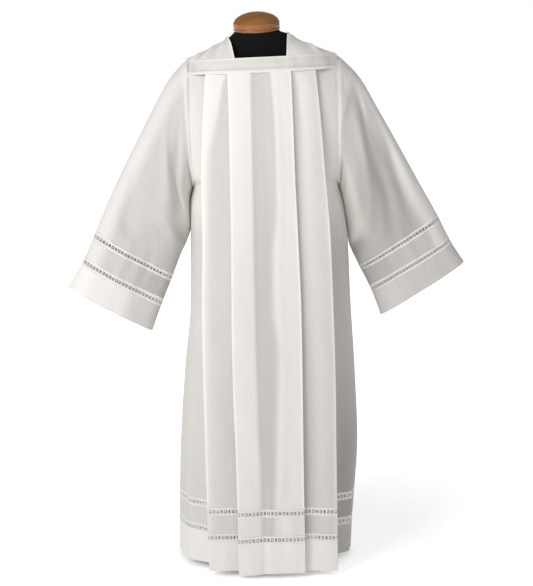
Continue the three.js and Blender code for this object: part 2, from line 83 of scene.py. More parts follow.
# height, left edge, right edge, depth of the front flat, of the back flat, depth of the
# side edge, how far the flat curves back to its side, corner of the side's curve
BODY = (
    (1371, -202.2, 202, 121, 111, 61, 60, 30),
    (1320, -199.9, 203.4, 127, 114, 76, 46, 30),
    (1240, -196.1, 205.4, 133, 118, 84, 38, 30),
    (1160, -192.5, 207.6, 138, 122, 78, 32, 24),
    (1105, -189.9, 209.1, 142, 125, 60, 28, 12),
    (1078, -188.7, 209.8, 144, 126, 38, 26, 4),
    (1066, -188, 210, 145, 127, 0, 25, 0),
    (1010, -198.5, 223.5, 148, 130, 0, 20, 0),
    (935, -197.5, 235.5, 152, 134, 0, 16, 0),
    (735, -199, 247, 166, 148, 0, 11, 0),
    (534, -217, 261, 179, 162, 0, 8, 0),
    (330, -230, 270, 192, 176, 0, 7, 0),
    (194, -234, 263, 200, 185, 0, 6, 0),
    (99, -235, 257, 203, 188, 0, 6, 0),
    (15, -236, 254, 206, 191, 0, 6, 0),
)

# height, the four fold edges, rise of the box at its two edges, depth of the two steps
FRONT_FOLDS = (
    (1371, -151, -91, 77, 143, 4, 4, 4, 4),
    (1240, -158, -87, 83, 157, 5, 5, 5, 6),
    (1105, -162, -85, 88, 169, 6, 6, 7, 10),
    (935, -159, -82, 97, 184, 7, 7, 10, 18),
    (735, -161, -81, 106, 193, 9, 8, 16, 36),
    (534, -158, -78, 110, 200, 11, 10, 24, 58),
    (330, -153, -70, 113, 203, 14, 12, 32, 80),
    (15, -144, -62, 119, 209, 18, 14, 38, 96),
)
BACK_FOLDS = (
    (1371, -146, -82, 84, 148, 4, 4, 4, 4),
    (1105, -163, -86, 85, 158, 6, 6, 8, 7),
    (935, -172, -92, 84, 156, 7, 7, 11, 9),
    (735, -184, -99, 86, 160, 8, 9, 17, 14),
    (534, -192, -104, 84, 164, 10, 11, 28, 24),
    (330, -198, -108, 82, 163, 12, 13, 40, 34),
    (15, -204, -114, 78, 158, 14, 16, 50, 42),
)

# distance from the middle of the shoulders, height of the ridge there
RIDGE_X = -7
RIDGE = (
    (74, 1472),
    (90, 1459.5),
    (105, 1450),
    (130, 1437.5),
    (160, 1425),
    (190, 1413),
    (212, 1405),
)
NECK = {"left": (-72, -93), "right": (65, 69)}

# distance from the cuff, outer edge x and z, inner edge x and z, half depth, middle y
SLEEVES = {
    "left": (
        (0, -536, 777, -306, 655, 44, -22),
        (74, -498, 842, -281, 724, 47, -19),
        (172, -458, 933, -246, 813, 51, -16),
        (260, -422, 1018, -226, 866, 58, -12),
        (370, -368, 1130, -209, 905, 67, -8),
        (480, -312, 1240, -199.3, 950, 76, -4),
        (600, -252, 1347, -200.2, 1012, 82, 0),
        (680, -205, 1401, -189, 1062, 84, 0),
    ),
    "right": (
        (0, 566, 839, 334.5, 689, 44, 36),
        (74, 529, 894, 309, 756, 47, 31),
        (172, 486, 975, 271, 832, 51, 26),
        (260, 438, 1058, 254, 868, 58, 19),
        (370, 382, 1156, 245, 896, 67, 12),
        (480, 324, 1256, 237.6, 944, 76, 6),
        (600, 262, 1357, 225.5, 1012, 82, 2),
        (680, 202, 1416, 211, 1070, 84, 0),
    ),
}

# height, middle x, half width, depth in front, depth behind, fall to the front
FORM = (
    (800, 0, 158, 104, 104, 0),
    (870, 0, 164, 108, 108, 0),
    (980, 0, 164, 110, 106, 0),
    (1080, 0, 165, 112, 103, 0),
    (1180, -2, 168, 113, 100, 0),
    (1290, -4, 174, 114, 98, 0),
    (1350, -5, 180, 100, 90, 0),
    (1390, -7, 187, 88, 80, 0),
    (1411.1, -7, 190, 80, 76, 0),
    (1423.1, -7, 160, 74, 72, 0),
    (1435.6, -7, 130, 70, 70, 0),
    (1448.1, -7, 105, 66, 66, 0),
    (1457.6, -7, 90, 64, 64, 0),
    (1470.1, -7, 74, 62, 62, 0),
    (1474, -14, 64, 61, 61, 0.07),
    (1480, -14, 59, 59, 59, 0.14),
)

# ---- creases ----

# Each crease is a list of (height, x, half width, rise), where a fall is a trough. On a
# side of the body x gives way to the share of the way from the pleat to the side seam.
FRONT_CREASES = {
    "box": (
        # the cloth over the left underlay, and the roll along its inner edge
        ((1371, -60, 26, 0), (1300, -58, 24, 1.6), (1000, -55, 24, 1.8), (600, -50, 26, 1.6),
         (250, -38, 26, 2.4), (15, -34, 24, 3)),
        # the roll along the right underlay
        ((1371, 33, 7, 0), (1300, 38, 8, 1.2), (1180, 45, 9, 2), (1000, 49, 9, 2.2),
         (870, 44, 12, 1.2), (720, 44, 12, 1.4), (620, 57, 12, 2), (480, 56, 14, 2.2),
         (300, 52, 14, 2), (150, 44, 10, 1.6), (15, 40, 10, 1.2)),
        # ripples that open towards the hem
        ((330, 4, 9, 0), (220, 8, 9, -2.4), (120, 10, 8, -2.8), (15, 6, 9, -2)),
        ((300, 24, 9, 0), (180, 22, 8, 2.2), (80, 22, 8, 1.6), (15, 26, 9, 1)),
        ((330, 96, 14, 0), (250, 74, 14, -2.4), (185, 52, 12, -2.8), (110, 56, 10, -1.6),
         (15, 62, 10, -1.8)),
        ((230, 88, 14, 0), (150, 84, 14, 2), (60, 88, 12, 1.6), (15, 90, 12, 1.4)),
    ),
    "left_recess": (
        ((1371, -128, 20, 0), (1330, -132, 18, 2.4), (1240, -142, 13, 3), (1120, -148, 11, 3),
         (900, -148, 12, 2.6), (500, -146, 14, 2), (15, -132, 18, 1.6)),
        ((1371, -92, 12, 0), (1340, -94, 14, -3), (1240, -96, 22, -4.6), (1100, -94, 26, -5),
         (800, -90, 28, -4), (400, -84, 28, -3.4), (15, -76, 22, -2)),
        ((620, -112, 14, 0), (420, -108, 16, 2), (180, -106, 16, 1.6), (15, -100, 14, 2.4)),
    ),
    "right_recess": (
        ((1371, 90, 7, 0), (1340, 92, 10, -3), (1240, 98, 13, -4.6), (1100, 100, 15, -5),
         (800, 116, 18, -4), (560, 130, 22, -4.4), (330, 134, 22, -5), (200, 136, 20, -4),
         (15, 138, 16, -3)),
        ((1371, 124, 16, 0), (1300, 128, 18, 2.4), (1000, 142, 20, 2.6), (600, 170, 22, 2.8),
         (250, 176, 22, 3), (15, 182, 18, 2)),
        ((1345, 104, 5, 0), (1310, 118, 6, -1.8), (1265, 134, 7, 0)),
        ((130, 134, 7, 0), (95, 133, 6, -3.4), (50, 132, 6, -4.2), (15, 131, 7, -4.4)),
    ),
    "left_side": (
        ((1371, 0.16, 0.12, 0), (1250, 0.18, 0.12, -3), (1000, 0.22, 0.12, -4),
         (700, 0.3, 0.12, -5), (330, 0.38, 0.1, -5), (15, 0.4, 0.08, 0)),
        ((1000, 0.6, 0.1, 0), (700, 0.62, 0.1, 4), (330, 0.62, 0.11, 8), (120, 0.58, 0.12, 12),
         (15, 0.56, 0.13, 15)),
        ((330, 0.86, 0.07, 0), (250, 0.8, 0.07, -6), (170, 0.66, 0.07, -7),
         (100, 0.56, 0.07, -4), (60, 0.52, 0.07, 0)),
    ),
    "right_side": (
        ((1340, 0.3, 0.12, 0), (1150, 0.34, 0.12, -3), (850, 0.42, 0.12, -6),
         (400, 0.46, 0.12, -9), (15, 0.46, 0.12, -10)),
        ((1000, 0.68, 0.11, 0), (800, 0.7, 0.11, 5), (330, 0.72, 0.11, 8),
         (15, 0.72, 0.11, 8)),
        ((760, 0.9, 0.06, 0), (600, 0.88, 0.06, -5), (300, 0.86, 0.06, -6),
         (15, 0.86, 0.06, -5)),
    ),
}
BACK_CREASES = {
    "box": (
        ((1371, -52, 24, 0), (1280, -50, 24, 1.8), (900, -56, 26, 2), (400, -66, 26, 2.6),
         (15, -74, 26, 3)),
        ((1371, 50, 22, 0), (1300, 48, 22, 1.6), (1000, 46, 22, 2), (600, 42, 22, 2.4),
         (300, 34, 20, 2.4), (15, 30, 18, 2)),
        ((420, -14, 12, 0), (260, -18, 12, -2.6), (120, -22, 11, -3.4), (15, -24, 11, -3)),
        ((300, 4, 10, 0), (170, 2, 10, 2.2), (15, 0, 10, 2)),
    ),
    "left_recess": (
        ((1371, -92, 12, 0), (1330, -94, 14, -3), (1200, -98, 20, -4.4), (900, -104, 22, -4.6),
         (400, -120, 24, -4), (15, -128, 20, -2.6)),
        ((1371, -124, 18, 0), (1260, -132, 18, 2.4), (900, -148, 20, 2.8), (400, -172, 22, 2.6),
         (15, -180, 20, 2.2)),
    ),
    "right_recess": (
        ((1371, 94, 9, 0), (1330, 96, 12, -3), (1160, 100, 17, -4.6), (800, 104, 20, -4.4),
         (400, 102, 22, -4.4), (15, 98, 18, -3)),
        ((1371, 128, 16, 0), (1250, 134, 18, 2.2), (900, 136, 18, 2.6), (400, 140, 20, 2.8),
         (15, 136, 18, 2)),
        ((240, 118, 9, 0), (150, 116, 9, -3), (15, 112, 9, -4)),
    ),
    "left_side": (
        ((1340, 0.2, 0.12, 0), (1150, 0.24, 0.12, -3), (800, 0.34, 0.12, -6),
         (400, 0.42, 0.12, -9), (15, 0.42, 0.12, -9)),
        ((960, 0.66, 0.11, 0), (700, 0.66, 0.11, 5), (330, 0.68, 0.11, 7), (15, 0.7, 0.11, 8)),
    ),
    "right_side": (
        ((1340, 0.24, 0.12, 0), (1100, 0.28, 0.12, -3), (760, 0.36, 0.12, -6),
         (400, 0.4, 0.12, -8), (15, 0.42, 0.12, -8)),
        ((940, 0.62, 0.11, 0), (650, 0.64, 0.11, 5), (300, 0.68, 0.11, 7), (15, 0.7, 0.11, 7)),
    ),
}

# Creases of the sleeves: (distance from the cuff, share of the way from the outer to the
# inner edge, half width as a share, rise), for the front and the back face.
SLEEVE_CREASES = {
    ("left", -1): (
        ((200, 0.36, 0.11, 0), (250, 0.28, 0.11, -9), (318, 0.22, 0.1, -9), (380, 0.13, 0.09, -6),
         (450, 0.1, 0.07, 0)),
        ((300, 0.64, 0.13, 0), (422, 0.61, 0.13, 6), (496, 0.44, 0.12, 6), (566, 0.2, 0.11, 4),
         (640, 0.1, 0.1, 0)),
        ((340, 0.92, 0.12, 0), (394, 0.88, 0.14, -6), (476, 0.8, 0.14, -9),
         (524, 0.66, 0.13, -8), (578, 0.58, 0.12, -7), (640, 0.42, 0.1, 0)),
        ((0, 0.8, 0.15, -5), (150, 0.74, 0.15, -8), (300, 0.66, 0.13, -5), (360, 0.64, 0.1, 0)),
        ((0, 0.42, 0.1, 3), (160, 0.4, 0.1, 4), (300, 0.36, 0.09, 0)),
    ),
    ("left", 1): (
        ((180, 0.5, 0.1, 0), (260, 0.42, 0.11, -9), (400, 0.32, 0.1, -9), (480, 0.25, 0.08, 0)),
        ((260, 0.7, 0.1, 0), (420, 0.72, 0.1, -8), (600, 0.76, 0.09, -6), (670, 0.78, 0.06, 0)),
        ((0, 0.7, 0.12, 3), (200, 0.64, 0.12, 5), (420, 0.54, 0.1, 4), (560, 0.5, 0.1, 0)),
    ),
    ("right", -1): (
        ((150, 0.28, 0.08, 0), (182, 0.27, 0.08, -6), (264, 0.225, 0.08, -11),
         (376, 0.14, 0.075, -12), (452, 0.085, 0.065, -9), (560, 0.07, 0.055, -6),
         (640, 0.05, 0.05, 0)),
        ((180, 0.4, 0.12, 0), (240, 0.36, 0.13, -6), (374, 0.26, 0.12, -7), (466, 0.2, 0.11, -6),
         (576, 0.16, 0.09, -4), (630, 0.14, 0.08, 0)),
        ((190, 0.52, 0.09, 0), (262, 0.44, 0.085, -8), (376, 0.36, 0.08, -10), (450, 0.34, 0.075, -9),
         (516, 0.3, 0.065, -8), (600, 0.14, 0.055, -5), (650, 0.08, 0.05, 0)),
        ((260, 0.74, 0.09, 0), (374, 0.6, 0.09, 6), (470, 0.48, 0.09, 7), (560, 0.38, 0.08, 5),
         (620, 0.3, 0.07, 0)),
        ((540, 0.4, 0.09, 0), (585, 0.5, 0.1, -3), (615, 0.6, 0.1, -3), (650, 0.68, 0.09, 0)),
        ((604, 0.02, 0.1, 0), (616, 0.05, 0.11, 4), (646, 0.29, 0.13, 6), (672, 0.5, 0.12, 4),
         (680, 0.57, 0.1, 0)),
        ((590, 0.86, 0.08, 0), (652, 0.852, 0.11, -8), (674, 0.8, 0.09, -4), (680, 0.78, 0.08, 0)),
        ((0, 0.62, 0.13, -4), (120, 0.6, 0.13, -6), (210, 0.56, 0.1, 0)),
    ),
    ("right", 1): (
        ((180, 0.46, 0.1, 0), (300, 0.38, 0.11, -10), (430, 0.3, 0.1, -10), (520, 0.22, 0.08, 0)),
        ((240, 0.7, 0.1, 0), (420, 0.7, 0.1, -8), (620, 0.74, 0.08, -6), (670, 0.76, 0.06, 0)),
        ((0, 0.3, 0.12, 3), (200, 0.24, 0.12, 6), (420, 0.16, 0.1, 5), (560, 0.1, 0.08, 0)),
    ),
}
# Small puckers where the lace is set into a sleeve: share of the way from the outer to the
# inner edge, rise
SLEEVE_PUCKERS = (
    (0.08, 1.6), (0.17, -1.8), (0.25, 1.3), (0.36, -1.6), (0.43, 1.9), (0.52, -1.2), (0.61, 1.7),
    (0.7, -1.9), (0.77, 1.2), (0.88, -1.5),
)


# ---- number helpers ----

def smooth_table(rows, at):
    """The columns of a table after its first, at values of the first, by a monotone cubic."""
    data = np.array(rows, float)
    data = data[np.argsort(data[:, 0])]
    x, y = data[:, 0], data[:, 1:]
    step = np.diff(x)[:, None]
    slope = np.diff(y, axis=0) / step
    tangent = np.zeros_like(y)
    tangent[0], tangent[-1] = slope[0], slope[-1]
    if len(x) > 2:
        before, after = slope[:-1], slope[1:]
        rising = before * after > 0
        early, late = 2 * step[1:] + step[:-1], step[1:] + 2 * step[:-1]
        weighed = early / np.where(rising, before, 1) + late / np.where(rising, after, 1)
        tangent[1:-1] = np.where(rising, (early + late) / np.where(rising, weighed, 1), 0)
    at = np.clip(np.asarray(at, float), x[0], x[-1])
    k = np.clip(np.searchsorted(x, at, side="right") - 1, 0, len(x) - 2)
    run = step[k, 0]
    t = ((at - x[k]) / run)[..., None]
    run = run[..., None]
    return (
        (1 + 2 * t) * (1 - t) ** 2 * y[k] + t * (1 - t) ** 2 * run * tangent[k]
        + t * t * (3 - 2 * t) * y[k + 1] + t * t * (t - 1) * run * tangent[k + 1]
    )


def relief(creases, along, across):
    """The rise of all creases at places on a surface."""
    along, across = np.broadcast_arrays(along, across)
    total = np.zeros(along.shape)
    for rows in creases:
        heights = [row[0] for row in rows]
        place, width, rise = np.moveaxis(smooth_table(rows, along), -1, 0)
        inside = (along >= min(heights)) & (along <= max(heights))
        total += np.where(inside, rise * np.exp(-((across - place) / width) ** 2), 0)
    return total


def unevenness(across, along, size, seed):
    """Soft waves of about one unit either way, size millimetres from crest to crest."""
    rng = np.random.default_rng(seed)
    total = np.zeros(np.broadcast(across, along).shape)
    for _ in range(7):
        wave = size * rng.uniform(0.7, 1.6)
        lean = rng.uniform(-0.35, 0.35)
        phase = rng.uniform(0, 2 * math.pi, 2)
        total += np.sin(2 * math.pi * (across + lean * along) / wave + phase[0]) * np.sin(
            2 * math.pi * along / (wave * rng.uniform(2.2, 4.0)) + phase[1]
        )
    return total / 2.6


def ease(value, start, end):
    """0 before start, 1 after end, smooth between."""
    t = np.clip((value - start) / (end - start), 0, 1)
    return t * t * (3 - 2 * t)


def squared(value, exponent):
    """The sine or cosine of a circle, changed to that of a rounded square."""
    return np.sign(value) * np.abs(value) ** (2 / exponent)


def leaned(x, y, z):
    """The body leans: its right side stands a little higher towards the shoulders."""
    share = np.clip((z - LEAN_START) / (LEAN_FULL - LEAN_START), 0, 1)
    return np.stack(np.broadcast_arrays(x, y, z + LEAN * share * x), axis=-1)


def shares(count, ends=""):
    """count steps from 0 to just before 1, closer together at the start or end named."""
    k = np.arange(count) / count
    if ends == "both":
        return (1 - np.cos(math.pi * k)) / 2
    if ends == "start":
        return 1 - np.cos(math.pi * k / 2)
    if ends == "end":
        return np.sin(math.pi * k / 2)
    return k


# ---- mesh helpers ----

# degrees past which an edge between two faces stays sharp
CLOTH_SHARP = 70
LACE_SHARP = 50
FORM_SHARP = 40


def mesh_object(name, points, quads, uvs, sheer):
    """An object of quads, with its points in metres and its sheerness and painted light at each."""
    quads = np.asarray(quads, np.int32)
    mesh = bpy.data.meshes.new(name)
    mesh.vertices.add(len(points))
    mesh.vertices.foreach_set("co", np.asarray(points, np.float32).ravel())
    mesh.loops.add(quads.size)
    mesh.loops.foreach_set("vertex_index", quads.ravel())
    mesh.polygons.add(len(quads))
    mesh.polygons.foreach_set("loop_start", np.arange(0, quads.size, 4, dtype=np.int32))
    layer = mesh.uv_layers.new(name="cloth")
    layer.data.foreach_set("uv", np.asarray(uvs, np.float32).ravel())
    mesh.update(calc_edges=True)
    attribute = mesh.attributes.new("sheer", "FLOAT", "POINT")
    attribute.data.foreach_set("value", np.asarray(sheer, np.float32).ravel())
    mesh.polygons.foreach_set("use_smooth", np.ones(len(quads), bool))
    mesh.set_sharp_from_angle(angle=math.radians(CLOTH_SHARP))
    mesh.validate()
    thing = bpy.data.objects.new(name, mesh)
    bpy.context.scene.collection.objects.link(thing)
    return thing


def signed_volume(points, quads):
    """The volume of a closed shell, below zero where its faces point inwards."""
    a, b, c, d = (points[quads[:, k]] for k in range(4))
    return float((a * np.cross(b, c)).sum() + (a * np.cross(c, d)).sum()) / 6


def normals_of(grid, ring):
    """Unit normals of a grid of points, from its neighbours."""
    if ring:
        across = np.roll(grid, -1, axis=1) - np.roll(grid, 1, axis=1)
    else:
        across = np.gradient(grid, axis=1)
    down = np.gradient(grid, axis=0)
    normal = np.cross(down, across)
    length = np.linalg.norm(normal, axis=-1, keepdims=True)
    return normal / np.maximum(length, 1e-9)


def laid_flat(grid, ring):
    """Where the points of a grid lie with the cloth laid flat: across it and down it."""
    loop = np.concatenate([grid, grid[:, :1]], axis=1) if ring else grid
    across = np.zeros(loop.shape[:2])
    across[:, 1:] = np.cumsum(np.linalg.norm(np.diff(loop, axis=1), axis=-1), axis=1)
    across -= across.mean(axis=1, keepdims=True)
    steps = np.linalg.norm(np.diff(grid, axis=0), axis=-1).mean(axis=1)
    down = np.concatenate([[0], np.cumsum(steps)])[:, None] * np.ones(across.shape)
    return np.stack([across, down], axis=-1)


# painted shade: the inner face of the cloth is painted darker than its outer face
INSIDE_PAINTED_SHADE = 1.8  # the inner face gets no light through the cloth
WEARER_BELOW = 150  # an open piece faces away from a point this far below its middle


def wall(name, grid, thick, sheer, ring=False):
    """A closed shell of cloth on both sides of a grid of points, all in millimetres."""
    rows, columns = grid.shape[:2]
    normal = normals_of(grid, ring)
    outer = grid + normal * thick / 2
    inner = grid - normal * thick / 2
    points = np.concatenate([outer.reshape(-1, 3), inner.reshape(-1, 3)])
    flat = laid_flat(grid, ring) * MM
    last = columns if ring else columns - 1
    row, column = np.meshgrid(np.arange(rows - 1), np.arange(last), indexing="ij")
    row, column = row.ravel(), column.ravel()
    below, beside = row + 1, column + 1
    after = beside % columns

    def at(side, r, c):
        return side * rows * columns + r * columns + c

    quads = [
        np.stack([at(0, row, column), at(0, below, column), at(0, below, after), at(0, row, after)], 1),
        np.stack([at(1, row, column), at(1, row, after), at(1, below, after), at(1, below, column)], 1),
    ]
    places = [
        np.stack([flat[row, column], flat[below, column], flat[below, beside], flat[row, beside]], 1),
        np.stack([flat[row, column], flat[row, beside], flat[below, beside], flat[below, column]], 1),
    ]
    c = np.arange(last)
    d = (c + 1) % columns
    for r, order in ((0, 1), (rows - 1, -1)):
        quad = np.stack([at(0, r, c), at(0, r, d), at(1, r, d), at(1, r, c)], 1)
        place = np.stack([flat[r, c], flat[r, c + 1], flat[r, c + 1], flat[r, c]], 1)
        quads.append(quad[:, ::order])
        places.append(place[:, ::order])
    if not ring:
        r = np.arange(rows - 1)
        for k, order in ((0, 1), (last, -1)):
            quad = np.stack([at(0, r, k), at(1, r, k), at(1, r + 1, k), at(0, r + 1, k)], 1)
            place = np.stack([flat[r, k], flat[r, k], flat[r + 1, k], flat[r + 1, k]], 1)
            quads.append(quad[:, ::order])
            places.append(place[:, ::order])
    quads, places = np.concatenate(quads), np.concatenate(places)
    if signed_volume(points, quads) < 0:
        quads, places = quads[:, ::-1], places[:, ::-1]
    sheer = np.broadcast_to(sheer, (rows, columns)).ravel()
    # painted shade on the inner face
    inside = np.full(sheer.shape, INSIDE_PAINTED_SHADE)
    if ring:
        wearer = grid.mean(axis=1, keepdims=True)
    else:
        wearer = np.array([0, 0, grid[..., 2].mean() - WEARER_BELOW])
    if np.linalg.norm(outer - wearer, axis=-1).mean() < np.linalg.norm(inner - wearer, axis=-1).mean():
        sheer, inside = inside, sheer
    return mesh_object(name, points * MM, quads, places, np.concatenate([sheer, inside]))


def joined(things, name):
    """One object made of several, under a new name."""
    keep = things[0]
    with bpy.context.temp_override(
        active_object=keep, object=keep, selected_objects=things, selected_editable_objects=things
    ):
        if len(things) > 1:
            bpy.ops.object.join()
    keep.name = name
    keep.data.name = name
    return keep


def only_material(thing, material):
    """Leaves a piece one material slot, with every face in it."""
    mesh = thing.data
    mesh.materials.clear()
    mesh.materials.append(material)
    mesh.polygons.foreach_set("material_index", np.zeros(len(mesh.polygons), np.int32))
    mesh.update()


def finish_piece(thing, material, slot, *nodes):
    """Gives a piece its material, its body and the CAD nodes it stands for; its slot is not used."""
    only_material(thing, material)
    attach(thing, BODY_NAME)
    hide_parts(*nodes)


# ---- the pleated body ----

# Where the cloth of a flat is a single layer, so that the dark form shows through it a little; its soft edges
# also lay painted shade beside the folds: (height, from x, to x, softness on the left, softness on the right)
FRONT_SINGLE = {
    "box": (
        (1371, -31, 22, 2, 5), (1240, -28, 34, 2, 6), (1000, -24, 40, 3, 8), (870, -22, 30, 3, 12),
        (740, -19, 32, 4, 14), (620, -16, 46, 5, 14), (400, -9, 42, 7, 14), (200, 0, 36, 7, 12),
        (15, 2, 34, 7, 12),
    ),
    "left_recess": (
        (1371, -95, 0, 2, 9), (1334, -106, 0, 4, 9), (1287, -114, 0, 6, 9), (1240, -122, 0, 9, 9),
        (1144, -140, 0, 14, 9), (900, -142, 0, 18, 9), (15, -132, 0, 20, 9),
    ),
    "right_recess": (
        (1371, 0, 84, 9, 2), (1334, 0, 93, 9, 4), (1287, 0, 99, 9, 6), (1240, 0, 104, 9, 9),
        (1144, 0, 107, 9, 14), (900, 0, 114, 9, 18), (500, 0, 140, 9, 22), (15, 0, 150, 9, 22),
    ),
}
BACK_SINGLE = {
    "box": ((1371, -22, 24, 3, 3), (900, -32, 24, 6, 6), (400, -48, 22, 10, 10), (15, -54, 18, 10, 10)),
    "left_recess": ((1371, -88, 0, 3, 9), (1240, -112, 0, 8, 9), (900, -130, 0, 16, 9), (15, -160, 0, 22, 9)),
    "right_recess": ((1371, 0, 90, 9, 3), (1240, 0, 106, 9, 8), (900, 0, 118, 9, 16), (15, 0, 120, 9, 22)),
}
# The sheerness of each part outside its single layer and in it, darker towards the hem, with painted shade on
# the right recess, which lies away from the light: (height, outside, inside)
FRONT_TONES = {
    "box": ((1371, 0.15, 1.05), (1144, 0.25, 1.1), (735, 0.42, 1.3), (400, 0.4, 1.3), (15, 0.45, 1.2)),
    "left_recess": ((1371, 0.15, 1.05), (1144, 0.2, 0.92), (900, 0.32, 0.82), (15, 0.55, 0.9)),
    "right_recess": ((1371, 0.25, 1.0), (1144, 0.5, 1.05), (735, 0.85, 1.25), (15, 1.0, 1.35)),
}
BACK_TONES = {
    "box": ((1371, 0.15, 1.05), (735, 0.3, 1.1), (15, 0.4, 1.1)),
    "left_recess": ((1371, 0.2, 1.05), (900, 0.45, 0.95), (15, 0.55, 0.95)),
    "right_recess": ((1371, 0.2, 1.05), (900, 0.45, 0.95), (15, 0.55, 0.95)),
}
PANELS = {
    "front": {
        "side": -1, "depth": 2, "folds": FRONT_FOLDS, "creases": FRONT_CREASES,
        "single": FRONT_SINGLE, "tones": FRONT_TONES, "corner_drop": 7, "seed": 11,
    },
    "back": {
        "side": 1, "depth": 3, "folds": BACK_FOLDS, "creases": BACK_CREASES,
        "single": BACK_SINGLE, "tones": BACK_TONES, "corner_drop": 3, "seed": 12,
    },
}
SIDE_COLUMNS = 34
RECESS_COLUMNS = 36
BOX_COLUMNS = 64
FLANK_COLUMNS = 8
TURN_COLUMNS = 3
# the gap between the layers of a pleat at the band, how much wider it is at the hem, and
# how late it opens
LAYER_GAP = 2.2
LAYER_OPENING = 2.4
LAYER_LATENESS = 1.5
# a folded edge is painted whiter, for its layered cloth and as a painted highlight
EDGE_LAYERS_AND_HIGHLIGHT_WIDTH = 5  # how far a folded edge reads whiter than the rest, and by how much
EDGE_LAYERS_AND_HIGHLIGHT = 0.6
# the box's corner on the seam is painted whiter, for its layered cloth and as a painted highlight
CORNER_LAYERS_AND_HIGHLIGHT = -0.8
# waves of the cloth: from crest to crest, their height at the top, what the fall of the
# cloth adds to it, the height where it starts to add
FLAT_WAVES = (90, 0.5, 0.7, 1371)
SIDE_WAVES = (70, 0.5, 1.0, 1200)
WAVES_WHOLE = 300  # the height where the waves are whole
SIDE_SPREAD = 200  # the width that the sides' waves take the side to have
# the box's middle lies lower than its doubled edges: by how much, and where that starts and
# is whole, from the ends of the underlays
BOX_HOLLOW = 2.6
BOX_HOLLOW_ENDS = (0, 10, -14, 4)
BOX_CORNER_FROM = 330  # the height where the box's front corner starts to drop
OUTER_RISE = 0.4  # the share of the box's rise past which cloth is its outer layer
# The sheerness of the sides, and the painted shade that the right side of the body adds, as it lies away from
# the light: (from a height, to a height, how much)
SIDE_TONE = 0.95
FAR_SIDE_PAINTED_SHADE = 0.4
FAR_SIDE_SHADE_FALL = ((960, 800, 0.12), (640, 260, 0.5))
# painted light: the shares of it that the cloth loses close under the armpit and above it, where it is
# painted lighter
UNDER_ARM_PAINTED_LIGHT = 0.65
OVER_ARM_PAINTED_LIGHT = 0.45
OVER_ARM = (1062, 1100)
FOLD_TONE = 0.55  # the share of it that is left beside the fold, above the armpit


